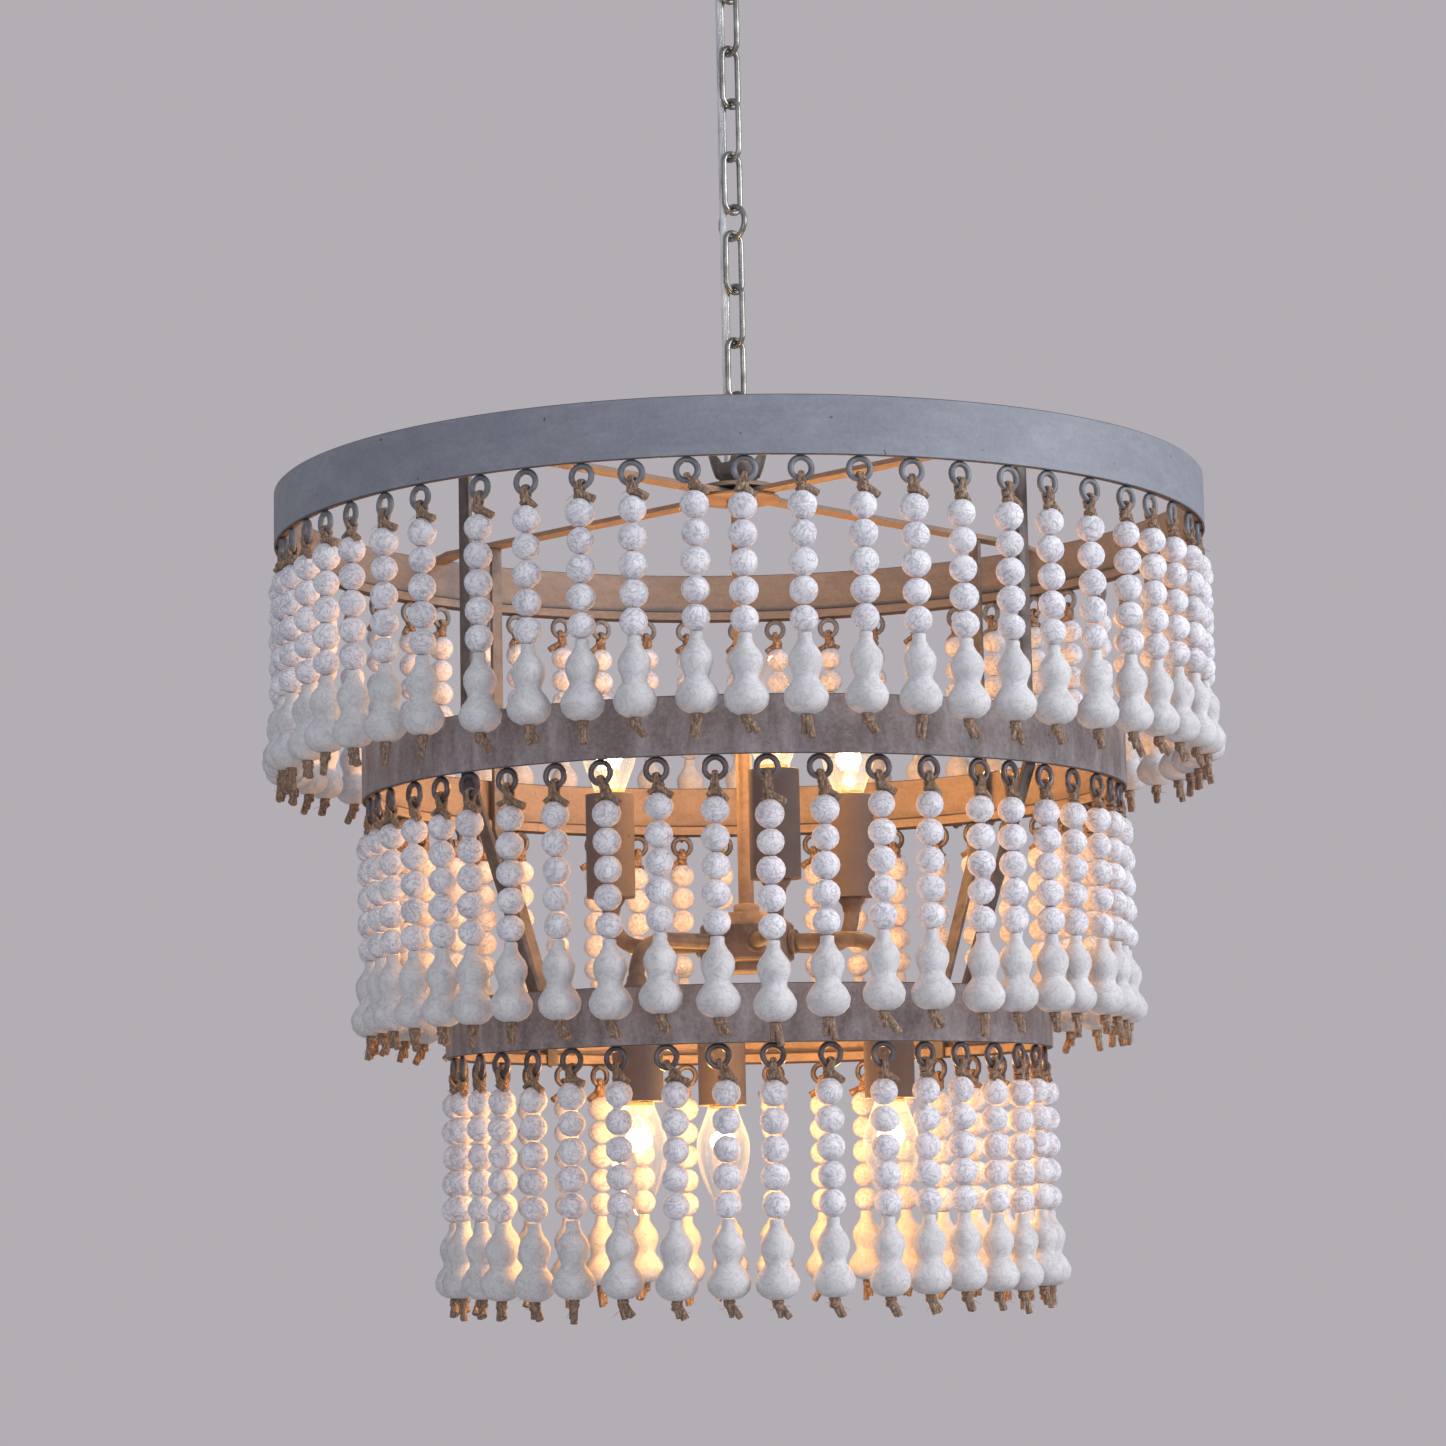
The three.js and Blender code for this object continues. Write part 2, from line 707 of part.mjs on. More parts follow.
// An arm leaves the hub level and bends up to its cup, in its own XZ plane.
// A hanging arm is the same turned over.
function arm() {
  const start = lowerHubRadius * Math.cos(Math.PI / turnedSides) + seatGap;
  const bendStart = candleRadius - armBend;
  const route = new THREE.CurvePath();
  route.add(new THREE.LineCurve3(new THREE.Vector3(start, 0, 0), new THREE.Vector3(bendStart, 0, 0)));
  const corner = new THREE.Vector3(candleRadius, 0, 0);
  const bendEnd = new THREE.Vector3(candleRadius, 0, armBend);
  route.add(new THREE.QuadraticBezierCurve3(new THREE.Vector3(bendStart, 0, 0), corner, bendEnd));
  const section = new THREE.Shape();
  section.absarc(0, 0, armRadius, 0, 2 * Math.PI);
  const options = { steps: armSteps, curveSegments: armSides / 2, extrudePath: route };
  const tube = new THREE.ExtrudeGeometry(section, options);
  const cupTop = sleeveRise - seatGap;
  const cup = turned(
    [[0, cupTop - cupHeight], [armRadius, cupTop - cupHeight], [cupRadius, cupTop], [0, cupTop]],
    tubeSides,
  );
  return join([tube, cup.translate(candleRadius, 0, 0)]);
}

function sleeve() {
  const top = sleeveRise + sleeveLength;
  const floor = top - socketDepth;
  return turned(
    [
      [0, sleeveRise],
      [sleeveRadius, sleeveRise],
      [sleeveRadius, top],
      [socketRadius, top],
      [socketRadius, floor],
      [0, floor],
    ],
    turnedSides,
  ).translate(candleRadius, 0, 0);
}

function bulb() {
  const foot = sleeveRise + sleeveLength - socketDepth + seatGap;
  const seat = foot + bulbBaseLength;
  return turned(
    [
      [0, foot],
      [bulbBaseRadius, foot],
      [bulbBaseRadius, seat],
      [bulbNeckRadius, seat + seatGap],
      [bulbRadius, seat + bulbLength * bulbShoulderShare],
      [bulbTaperRadius, seat + bulbLength * bulbTaperShare],
      [bulbTipRadius, seat + bulbLength * bulbTipShare],
      [0, seat + bulbLength],
    ],
    bulbSides,
  ).translate(candleRadius, 0, 0);
}

function buildCandles() {
  for (let n = 0; n < armCount; n += 1) {
    const branch = new THREE.Group();
    branch.position.z = candelabraHeight;
    const turn = radians(firstArmAzimuth - 90 + (360 * n) / armCount);
    branch.rotation.set(n % 2 ? Math.PI : 0, 0, turn, 'ZYX');
    part.add(branch);
    addPiece(`arm_${n + 1}`, arm(), 'iron', branch);
    addPiece(`candle_sleeve_${n + 1}`, sleeve(), 'sleeve', branch);
    addPiece(`bulb_${n + 1}`, bulb(), 'glass', branch);
  }
}

buildCeiling();
buildChain();
buildCord();
buildTopHub();
buildCrossBars();
buildHangers();
buildTiers();
buildStem();
buildCandles();

export default part;
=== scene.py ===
import math
import random

import bpy
from mathutils import Matrix, Vector


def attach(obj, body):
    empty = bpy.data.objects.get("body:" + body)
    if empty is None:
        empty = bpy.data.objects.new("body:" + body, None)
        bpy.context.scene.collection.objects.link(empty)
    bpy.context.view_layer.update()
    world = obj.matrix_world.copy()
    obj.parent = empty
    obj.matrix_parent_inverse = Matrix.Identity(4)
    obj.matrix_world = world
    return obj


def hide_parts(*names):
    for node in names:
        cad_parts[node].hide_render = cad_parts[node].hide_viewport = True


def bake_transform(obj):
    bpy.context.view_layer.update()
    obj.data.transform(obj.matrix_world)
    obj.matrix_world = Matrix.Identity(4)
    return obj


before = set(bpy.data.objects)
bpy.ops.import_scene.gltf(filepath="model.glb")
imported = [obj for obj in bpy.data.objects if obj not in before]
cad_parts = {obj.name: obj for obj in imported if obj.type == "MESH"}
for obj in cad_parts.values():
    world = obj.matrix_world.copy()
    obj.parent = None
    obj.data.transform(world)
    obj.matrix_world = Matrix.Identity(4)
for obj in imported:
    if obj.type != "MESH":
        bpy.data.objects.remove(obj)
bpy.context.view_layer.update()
mm = 0.001
weldReach = 0.01 * mm  # points closer than this are merged


def tint(red, green, blue):
    # written as a painter's 0 to 255 values, used as linear light
    shares = [value / 255 for value in (red, green, blue)]
    linear = [((share + 0.055) / 1.055) ** 2.4 if share > 0.04 else share / 12.92 for share in shares]
    return (*linear, 1.0)


def around(radius, azimuth, height=0.0):
    # azimuth 0 faces the camera, 90 is to its right
    angle = math.radians(azimuth)
    return Vector((radius * math.sin(angle), -radius * math.cos(angle), height))


# camera, at the photograph's angle
viewpoint = {"place": (0, -2.2389, -0.86345), "lens": 87.07,
             "yaw": -0.0057, "pitch": 0.1304, "roll": -0.0192}


def placeCamera():
    yaw, pitch, roll = viewpoint["yaw"], viewpoint["pitch"], viewpoint["roll"]
    ahead = Vector((math.sin(yaw) * math.cos(pitch), math.cos(yaw) * math.cos(pitch), math.sin(pitch)))
    side = Vector((math.cos(yaw), -math.sin(yaw), 0))
    up = side.cross(ahead)
    rolledSide = math.cos(roll) * side + math.sin(roll) * up
    rolledUp = -math.sin(roll) * side + math.cos(roll) * up
    bpy.ops.object.camera_add()
    camera = bpy.context.object
    camera.name = "photoCamera"
    camera.data.sensor_width = 36
    camera.data.lens = viewpoint["lens"]
    turn = Matrix((rolledSide, rolledUp, -ahead)).transposed().to_4x4()
    camera.matrix_world = Matrix.Translation(viewpoint["place"]) @ turn
    bpy.context.scene.camera = camera


placeCamera()
print("camera placed")


# modelling helpers
def clearSelection():
    if bpy.context.object and bpy.context.object.mode != "OBJECT":
        bpy.ops.object.mode_set(mode="OBJECT")
    bpy.ops.object.select_all(action="DESELECT")


def activate(piece, *others):
    clearSelection()
    for each in (piece, *others):
        each.select_set(True)
    bpy.context.view_layer.objects.active = piece


def keepPlace(piece):
    # the place goes into the mesh, and the object stays at the origin
    activate(piece)
    bpy.ops.object.transform_apply(location=True, rotation=True, scale=True)


def pickPoints(piece, test):
    activate(piece)
    mesh = piece.data
    for flags in (mesh.edges, mesh.polygons):
        flags.foreach_set("select", [False] * len(flags))
    mesh.vertices.foreach_set("select", [test(v.co) for v in mesh.vertices])
    bpy.ops.object.mode_set(mode="EDIT")
    bpy.ops.mesh.select_mode(type="VERT")


def closeUp(piece, smoothAngle=35):
    activate(piece)
    bpy.ops.object.mode_set(mode="EDIT")
    bpy.ops.mesh.select_all(action="SELECT")
    bpy.ops.mesh.remove_doubles(threshold=weldReach)
    bpy.ops.mesh.normals_make_consistent(inside=False)
    bpy.ops.object.mode_set(mode="OBJECT")
    bpy.ops.object.shade_smooth_by_angle(angle=math.radians(smoothAngle))


def finishWith(piece, *materials):
    piece.data.materials.clear()
    for material in materials:
        piece.data.materials.append(material)


def turnedForm(name, profile, sides=48, axis=(0, 0), smoothAngle=35):
    # a lathe form: a round face is extruded and scaled from one (radius, height) in mm to the next;
    # a point on the axis is a tiny circle until the doubles are merged
    tiny = 0.01
    x, y = axis[0] * mm, axis[1] * mm
    clearSelection()
    radius, height = profile[0]
    loops = profile[0] == profile[-1]
    fill = "NOTHING" if loops or radius == 0 else "NGON"
    start = max(radius, tiny)
    bpy.ops.mesh.primitive_circle_add(
        vertices=sides, radius=start * mm, fill_type=fill, location=(x, y, height * mm))
    piece = bpy.context.object
    piece.name = name
    bpy.ops.object.mode_set(mode="EDIT")
    bpy.ops.mesh.select_all(action="SELECT")
    for nextRadius, nextHeight in profile[1:]:
        rise = (0, 0, (nextHeight - height) * mm)
        bpy.ops.mesh.extrude_edges_move(TRANSFORM_OT_translate={"value": rise})
        share = max(nextRadius, tiny) / start
        if abs(share - 1) > 1e-6:
            bpy.ops.transform.resize(value=(share, share, 1), center_override=(x, y, nextHeight * mm))
        start, height = max(nextRadius, tiny), nextHeight
    if not loops and profile[-1][0] > 0:
        bpy.ops.mesh.edge_face_add()
    bpy.ops.mesh.select_all(action="SELECT")
    bpy.ops.mesh.remove_doubles(threshold=3 * weldReach)
    bpy.ops.mesh.select_all(action="DESELECT")
    bpy.ops.object.mode_set(mode="OBJECT")
    keepPlace(piece)
    closeUp(piece, smoothAngle)
    return piece


def wireRing(name, halfWidth, halfReach, wire, middle, turn, segments=40, sides=12):
    # a round wire ring, whose halves are drawn apart along Z into a link; sizes in mm
    clearSelection()
    bpy.ops.mesh.primitive_torus_add(
        major_segments=segments, minor_segments=sides,
        major_radius=halfWidth * mm, minor_radius=wire * mm,
        location=(0, 0, middle * mm), rotation=(math.pi / 2, 0, math.radians(turn)))
    piece = bpy.context.object
    piece.name = name
    keepPlace(piece)
    for side in (1, -1):
        draw = (halfReach - halfWidth) * side * mm
        if draw:
            pickPoints(piece, lambda place: (place.z - middle * mm) * side > 1e-6)
            bpy.ops.transform.translate(value=(0, 0, draw))
    clearSelection()
    closeUp(piece, 60)
    return piece


def bentTube(name, points, radius, sides=6, tipShare=1.0):
    # a round tube along the points, in mm; its far end may be thinner or frayed wider
    clearSelection()
    bpy.ops.curve.primitive_nurbs_path_add()
    piece = bpy.context.object
    piece.name = name
    curve = piece.data
    curve.splines.clear()
    line = curve.splines.new("POLY")
    line.points.add(len(points) - 1)
    for n, place in enumerate(points):
        line.points[n].co = (place[0] * mm, place[1] * mm, place[2] * mm, 1)
        line.points[n].radius = 1 + (tipShare - 1) * n / (len(points) - 1)
    curve.dimensions = "3D"
    curve.bevel_depth = radius * mm
    curve.bevel_resolution = max(0, (sides - 4) // 2)
    curve.use_fill_caps = True
    bpy.ops.object.convert(target="MESH")
    closeUp(piece, 60)
    return piece


def eased(points, steps):
    # a smooth line through the points, with that many steps from one to the next
    line, last = [], len(points) - 1
    for n in range(last):
        near = [Vector(points[min(max(n + k, 0), last)]) for k in (-1, 0, 1, 2)]
        before, here, there, after = near
        square = 2 * before - 5 * here + 4 * there - after
        cube = 3 * here - before - 3 * there + after
        for step in range(steps):
            t = step / steps
            line.append(tuple(0.5 * (2 * here + (there - before) * t + square * t**2 + cube * t**3)))
    return line + [tuple(points[-1])]


def joined(name, pieces):
    activate(*pieces)
    bpy.ops.object.join()
    piece = bpy.context.object
    piece.name = name
    piece.data.name = name
    return piece


def copied(piece, matrix, name="copy"):
    clearSelection()
    another = piece.copy()
    another.data = piece.data.copy()
    another.name = name
    bpy.context.collection.objects.link(another)
    another.data.transform(matrix)
    return another


def spunBand(name, corners, start, sweep, steps):
    # a band whose section has its corners at (radius, height) in mm, spun on from one azimuth
    clearSelection()
    fill = "NOTHING" if sweep == 360 else "NGON"
    bpy.ops.mesh.primitive_circle_add(vertices=len(corners), radius=mm, fill_type=fill)
    piece = bpy.context.object
    piece.name = name
    for vertex, (radius, height) in zip(piece.data.vertices, corners):
        vertex.co = around(radius * mm, start, height * mm)
    bpy.ops.object.mode_set(mode="EDIT")
    bpy.ops.mesh.select_all(action="SELECT")
    bpy.ops.mesh.spin(steps=steps, angle=-math.radians(sweep), center=(0, 0, 0), axis=(0, 0, 1))
    bpy.ops.object.mode_set(mode="OBJECT")
    closeUp(piece, 40)
    return piece


# finishes
def newFinish(name, **sockets):
    material = bpy.data.materials.new(name)
    material.use_nodes = True
    shader = material.node_tree.nodes["Principled BSDF"]
    for socket, value in sockets.items():
        shader.inputs[socket].default_value = value
    return material, material.node_tree, shader


def addNode(tree, kind, **settings):
    node = tree.nodes.new(kind)
    for key, value in settings.items():
        if key in node.inputs:
            node.inputs[key].default_value = value
        else:
            setattr(node, key, value)
    return node


def mottle(tree, size, detail=4.0, roughness=0.55, distortion=0.0, stretch=(1, 1, 1)):
    # noise on the object's own metres, with spots about that many mm wide
    place = addNode(tree, "ShaderNodeTexCoord")
    mapping = addNode(tree, "ShaderNodeMapping")
    mapping.inputs["Scale"].default_value = stretch
    noise = addNode(tree, "ShaderNodeTexNoise", Scale=1000 / size, Detail=detail,
                    Roughness=roughness, Distortion=distortion)
    tree.links.new(place.outputs["Object"], mapping.inputs["Vector"])
    tree.links.new(mapping.outputs["Vector"], noise.inputs["Vector"])
    return noise.outputs["Fac"]


def ramp(tree, source, *stops):
    node = addNode(tree, "ShaderNodeValToRGB")
    elements = node.color_ramp.elements
    while len(elements) < len(stops):
        elements.new(0.5)
    for element, (place, colour) in zip(elements, stops):
        element.position = place
        element.color = colour if not isinstance(colour, float) else (colour, colour, colour, 1)
    tree.links.new(source, node.inputs["Fac"])
    return node.outputs["Color"]


def blended(tree, share, first, second, kind="MIX"):
    node = addNode(tree, "ShaderNodeMix", data_type="RGBA", blend_type=kind)
    for socket, value in ((node.inputs[0], share), (node.inputs[6], first), (node.inputs[7], second)):
        if isinstance(value, bpy.types.NodeSocket):
            tree.links.new(value, socket)
        else:
            socket.default_value = value
    return node.outputs[2]


def raised(tree, shader, height, strength, distance):
    bump = addNode(tree, "ShaderNodeBump", Strength=strength, Distance=distance * mm)
    tree.links.new(height, bump.inputs["Height"])
    tree.links.new(bump.outputs["Normal"], shader.inputs["Normal"])


def scratches(tree, size, width, distortion):
    # thin curved lines, where a noise passes its middle value
    noise = mottle(tree, size, detail=1.5, distortion=distortion)
    return ramp(tree, noise, (0.5 - width, 0.0), (0.5, 1.0), (0.5 + width, 0.0))


def brushedPaint(name, base, worn, shadow, roughness=0.62, cloud=60, strokes=(1, 1, 3), depth=0.4):
    # hand-brushed paint on iron: drifting tone, brush strokes, rubbed spots and a few pits
    material, tree, shader = newFinish(name, Roughness=roughness, Metallic=0.0)
    softStrokes = [(1 + 2 * value) / 3 for value in strokes]
    clouds = mottle(tree, cloud, detail=3, distortion=0.6, stretch=softStrokes)
    drift = ramp(tree, clouds, (0.36, base), (0.66, worn))
    bristles = mottle(tree, 13, detail=5, roughness=0.65, stretch=strokes)
    lines = ramp(tree, bristles, (0.36, 0.0), (0.66, 1.0))
    brushed = blended(tree, lines, shadow, drift)
    soft = blended(tree, depth, drift, brushed)
    speckle = ramp(tree, mottle(tree, 2.6, detail=4, roughness=0.75), (0.4, 0.0), (0.62, 1.0))
    cloudy = blended(tree, 0.22, soft, blended(tree, speckle, shadow, worn))
    spots = ramp(tree, mottle(tree, 9, detail=6, roughness=0.7), (0.64, 0.0), (0.72, 1.0))
    rubbed = blended(tree, spots, cloudy, worn)
    pits = ramp(tree, mottle(tree, 4.6, detail=2), (0.235, 0.75), (0.27, 0.0))
    tree.links.new(blended(tree, pits, rubbed, shadow, "MULTIPLY"), shader.inputs["Base Color"])
    raised(tree, shader, mottle(tree, 5, detail=6, roughness=0.7), 0.4, 0.45)
    return material


def limedWood(name, base, line, hollow, size, depth):
    # limewashed turned wood: swirling knife and brush lines, greyer in the hollows
    material, tree, shader = newFinish(name, Roughness=0.82)
    drift = ramp(tree, mottle(tree, 12, detail=3), (0.32, hollow), (0.6, base))
    fine = scratches(tree, size, 0.05, 1.6)
    broad = scratches(tree, size * 2.1, 0.03, 2.4)
    grain = ramp(tree, mottle(tree, 2.2, detail=4, roughness=0.7), (0.35, 0.0), (0.7, 1.0))
    lined = blended(tree, fine, drift, line)
    softened = blended(tree, depth, drift, lined)
    crossed = blended(tree, broad, softened, line)
    softCross = blended(tree, depth, softened, crossed)
    powdered = blended(tree, grain, softCross, drift)
    tree.links.new(blended(tree, 0.2, softCross, powdered), shader.inputs["Base Color"])
    heights = blended(tree, 0.35, blended(tree, 0.5, fine, broad), grain)
    raised(tree, shader, heights, depth, -0.5)
    return material


def twistedJute(name):
    material, tree, shader = newFinish(name, Roughness=0.95)
    fibres = mottle(tree, 1.3, detail=5, roughness=0.8, stretch=(1, 1, 0.35))
    tone = ramp(tree, fibres, (0.3, tint(70, 54, 46)), (0.5, tint(126, 103, 88)),
                (0.7, tint(196, 172, 149)))
    tree.links.new(tone, shader.inputs["Base Color"])
    raised(tree, shader, fibres, 0.8, 0.5)
    return material


def agedSteel(name, base, dark, metallic, roughness):
    material, tree, shader = newFinish(name, Metallic=metallic, Roughness=roughness)
    tone = ramp(tree, mottle(tree, 12, detail=5, roughness=0.65), (0.36, dark), (0.6, base))
    tree.links.new(tone, shader.inputs["Base Color"])
    rough = ramp(tree, mottle(tree, 7, detail=4), (0.3, roughness - 0.12), (0.7, roughness + 0.14))
    tree.links.new(rough, shader.inputs["Roughness"])
    raised(tree, shader, mottle(tree, 2.5, detail=5), 0.3, 0.15)
    return material


def bulbGlass(name, fill, strength, colour):
    # thin clear glass, see-through with a soft rim; towards its foot it turns less clear and glows: a
    # painted glow standing in for the lamp's light in the glass
    material, tree, shader = newFinish(name, Roughness=0.02, IOR=1.45)
    shader.inputs["Base Color"].default_value = tint(255, 250, 242)
    shader.inputs["Transmission Weight"].default_value = 1.0
    shader.inputs["Emission Color"].default_value = colour
    rim = addNode(tree, "ShaderNodeLayerWeight", Blend=0.4)
    cover = ramp(tree, rim.outputs["Facing"], (0.2, 0.12), (0.75, 0.45), (0.95, 0.95))
    glow = addNode(tree, "ShaderNodeAttribute", attribute_name="glow")
    seen = addNode(tree, "ShaderNodeMath", operation="MAXIMUM")
    tree.links.new(cover, seen.inputs[0])
    for factor, target in ((fill, seen.inputs[1]), (strength, shader.inputs["Emission Strength"])):
        scaled = addNode(tree, "ShaderNodeMath", operation="MULTIPLY")
        scaled.inputs[1].default_value = factor
        tree.links.new(glow.outputs["Fac"], scaled.inputs[0])
        tree.links.new(scaled.outputs[0], target)
    tree.links.new(seen.outputs[0], shader.inputs["Alpha"])
    return material


def clearCover(name):
    # clear plastic, a little milky along its length
    material, tree, shader = newFinish(name, Roughness=0.1, IOR=1.46, Alpha=0.62)
    fog = ramp(tree, mottle(tree, 9, detail=3, stretch=(1, 1, 0.3)),
               (0.35, tint(160, 165, 174)), (0.62, tint(236, 238, 244)))
    tree.links.new(fog, shader.inputs["Base Color"])
    return material


def glowing(name, colour, strength):
    material, tree, shader = newFinish(name, Roughness=0.5)
    shader.inputs["Base Color"].default_value = colour
    shader.inputs["Emission Color"].default_value = colour
    shader.inputs["Emission Strength"].default_value = strength
    return material


# painted iron: main tone, worn tone and shadow
topPaint = brushedPaint("greyBluePaint", tint(121, 125, 138), tint(135, 139, 151), tint(103, 107, 120))
# the middle and lower hoops take a browner, warmer copy of the brushed paint: painted warm light from the
# lamps near them; its strokes and pits are the paint's own
lowPaint = brushedPaint("lampWarmedPaint", tint(128, 116, 117), tint(172, 169, 177), tint(90, 80, 81),
                        roughness=0.52, cloud=24, strokes=(1, 1, 0.3), depth=0.72)
topInside = brushedPaint("topInside", tint(117, 109, 108), tint(132, 124, 121), tint(88, 79, 78))
lowInside = brushedPaint("lowInside", tint(136, 119, 109), tint(152, 135, 122), tint(104, 88, 80))
# painted shade: a dark line along the seam over the eyelet strip, and under the strip
seamShadow = brushedPaint("seamShadow", tint(74, 60, 55), tint(88, 72, 66), tint(58, 47, 43))
# painted shade: a dark line along the hoops' top and foot edges
paintedEdgeShade = brushedPaint("paintedEdgeShade", tint(84, 80, 84), tint(98, 95, 99), tint(66, 62, 66))
barPaint = brushedPaint("warmIron", tint(124, 107, 96), tint(146, 127, 112), tint(94, 79, 71))
# painted shade: the near-black underside of the hub disc, over the gap above the crossed bars
plateShadow = brushedPaint("plateShadow", tint(40, 34, 32), tint(52, 44, 41), tint(30, 26, 24))
sleevePaint = brushedPaint("sleeveTaupe", tint(102, 93, 94), tint(111, 102, 102), tint(92, 84, 85),
                           roughness=0.75, cloud=60, strokes=(1, 1, 2), depth=0.3)

# metal: pale tone and dark tone
topRingPaint = agedSteel("topEyelet", tint(118, 122, 132), tint(88, 91, 100), metallic=0.15, roughness=0.55)
lowRingPaint = agedSteel("lowEyelet", tint(104, 99, 106), tint(70, 64, 68), metallic=0.4, roughness=0.42)
chainSteel = agedSteel("chainSteel", tint(156, 159, 157), tint(112, 113, 110), metallic=0.8, roughness=0.32)
darkIron = agedSteel("darkIron", tint(108, 102, 102), tint(80, 75, 76), metallic=0.25, roughness=0.5)
branchIron = agedSteel("branchIron", tint(120, 106, 99), tint(88, 77, 73), metallic=0.15, roughness=0.55)
brass = agedSteel("lampBrass", tint(196, 160, 104), tint(150, 116, 70), metallic=0.9, roughness=0.32)
tinnedWire = agedSteel("tinnedWire", tint(224, 227, 232), tint(176, 180, 186), metallic=0.85, roughness=0.25)

# wood: lime on the raised wood, grey brush lines, and the hollows
beadWood = limedWood("limedBead", tint(226, 226, 235), tint(146, 145, 159), tint(206, 205, 215),
                     size=7.2, depth=0.62)
gourdWood = limedWood("limedGourd", tint(204, 204, 210), tint(160, 157, 159), tint(190, 189, 195),
                      size=9, depth=0.42)
jute = twistedJute("jute")
clearJacket = clearCover("clearJacket")
glass = bulbGlass("bulbGlass", fill=0.36, strength=1.3, colour=(1.0, 0.68, 0.3, 1))
filament = glowing("filamentGlow", (1.0, 0.55, 0.22, 1), 60)
print("finishes mixed")


def repaint(nodeName, material, bevel=0.0):
    # a CAD piece keeps its shape, with a finish and a softened edge
    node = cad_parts[nodeName]
    for place in node.material_slots:
        place.material = material
    if bevel:
        weld = node.modifiers.new("mergedCorners", "WELD")
        weld.merge_threshold = weldReach
        edge = node.modifiers.new("softEdge", "BEVEL")
        edge.width = bevel * mm
        edge.segments = 2
        edge.limit_method = "ANGLE"
        edge.angle_limit = math.radians(35)


def standFor(piece, body, slotName, *nodes):
    keepPlace(piece)
    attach(piece, body)
    if nodes:
        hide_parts(*nodes)


# ceiling canopy and its loop; as everywhere below, in mm, with heights down from the ceiling
ceiling = {"rim": 62, "shoulder": 46, "depth": 26, "wall": 1.2, "hole": 5.3, "collar": 12.5,
           "collarTop": -26.3, "collarFoot": -35.3, "flange": 16, "loop": 8.1, "wire": 1.9}


def makeCanopy():
    c = ceiling
    rim, shoulder, depth, wall, hole = c["rim"], c["shoulder"], c["depth"], c["wall"], c["hole"]
    outside = eased([(shoulder - 22, -depth), (shoulder, -depth + 0.2), (shoulder + 9, -20.5),
                     (rim - 1.2, -12.5), (rim, -3)], 5)
    # the wall's thickness goes upwards under the flat face, and mostly inwards in the skirt
    inside = [(radius - wall, height + wall * (0.9 if height < -13 else 0.2))
              for radius, height in outside[::-1]]
    profile = [(hole, -depth), *outside, (rim, -0.3), (rim - wall, -0.3), *inside,
               (hole, -depth + wall), (hole, -depth)]
    canopy = turnedForm("ceilingCanopy", profile, 72)
    finishWith(canopy, topPaint)
    standFor(canopy, "ceiling", "weathered_paint", "canopy")

    radius, flange, foot, top = c["collar"], c["flange"], c["collarFoot"], c["collarTop"]
    collar = turnedForm("collar", [
        (0, foot), (9.5, foot), (11.6, foot + 0.7), (radius, foot + 2.6), (radius, -30), (14.2, -28.2),
        (flange, top - 0.5), (flange, top), (0, top)], 40)
    loop = wireRing("loop", c["loop"], c["loop"], c["wire"], foot - c["loop"], -45)
    both = joined("canopyLoop", [collar, loop])
    finishWith(both, chainSteel)
    standFor(both, "ceiling", "chain_metal", "canopy_loop")
    repaint("mounting_bar", darkIron, 0.4)
    repaint("threaded_nipple", brass)


# chain, and the supply cord beside it
chain = {"firstSeat": -51.5, "wire": 1.9, "play": 0.3, "halfWidth": 7.1, "halfReach": 20.05, "ring": 10.85}
cord = {"place": -6.364, "radius": 2.3, "top": -30.6, "foot": -411.8, "steps": 16,
        "core": 0.95, "twist": 0.2, "bendReach": 9}
linkBodies = [*(f"chain_link_{n}" for n in range(1, 6)), "joining_ring",
              *(f"chain_link_{n}" for n in range(6, 9))]


def makeChain():
    # each link hangs in the seat of the one above, a quarter turn from it
    seat, turn, middles = chain["firstSeat"], 45, []
    for body in linkBodies:
        isRing = body == "joining_ring"
        half = chain["ring"] if isRing else chain["halfReach"]
        width = chain["ring"] if isRing else chain["halfWidth"]
        middle = seat + 2 * chain["wire"] + chain["play"] - half
        link = wireRing(body.replace("_", "") + "Wire", width, half, chain["wire"], middle, turn, 44, 14)
        finishWith(link, chainSteel)
        standFor(link, body, "chain_metal", body)
        middles.append((seat, middle))
        seat, turn = middle - half, -turn
    return middles, seat


def makeCord(middles, lastSeat):
    # a length of cord for each seat of the chain, with two cores wound in a clear jacket
    seats = [*(seat for seat, _ in middles), lastSeat]
    cuts = [cord["top"], *(middle for _, middle in middles), cord["foot"]]
    place, steps, twist = cord["place"], cord["steps"], cord["twist"]
    for n, seat in enumerate(seats):
        heights = [cuts[n] + (cuts[n + 1] - cuts[n]) * k / steps for k in range(steps + 1)]
        jacket = bentTube("jacket", [(place, 0, z) for z in heights], cord["radius"], 14)
        finishWith(jacket, clearJacket)
        cores = []
        for side in (0, math.pi):
            wound = [(place + math.cos(z * twist + side), math.sin(z * twist + side), z) for z in heights]
            cores.append(bentTube("core", wound, cord["core"], 8))
            finishWith(cores[-1], tinnedWire)
        piece = joined(f"cordLength{n + 1}", [jacket, *cores])
        keepPlace(piece)
        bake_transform(piece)
        if n == 0:
            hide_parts("supply_cord")


makeCanopy()
linkMiddles, lastSeat = makeChain()
makeCord(linkMiddles, lastSeat)
print("ceiling, chain and cord made")


# hanging loop in its cup, cross bars and hub
hangingCup = {"loopMiddle": -369.3, "loopReach": 16.3, "top": -385.6, "foot": -414.6, "floor": -412.1,
              "apex": -439.1, "notches": (-30, 30, 90, 150, 210, 270), "notchSteps": 8,
              "notchShare": 0.9575, "notchReach": 30, "notchFoot": 6}
crossBar = {"top": -418.9, "foot": -421.9, "reach": 297, "width": 13, "azimuth": 46,
            "end": 16, "dip": 3.2, "halving": 6.8, "play": 0.15}
hub = {"top": -414.9, "foot": -418.6, "radius": 25,
       "plateTop": -422.1, "plateFoot": -424.3, "plateRadius": 27, "plateHole": 7.9}


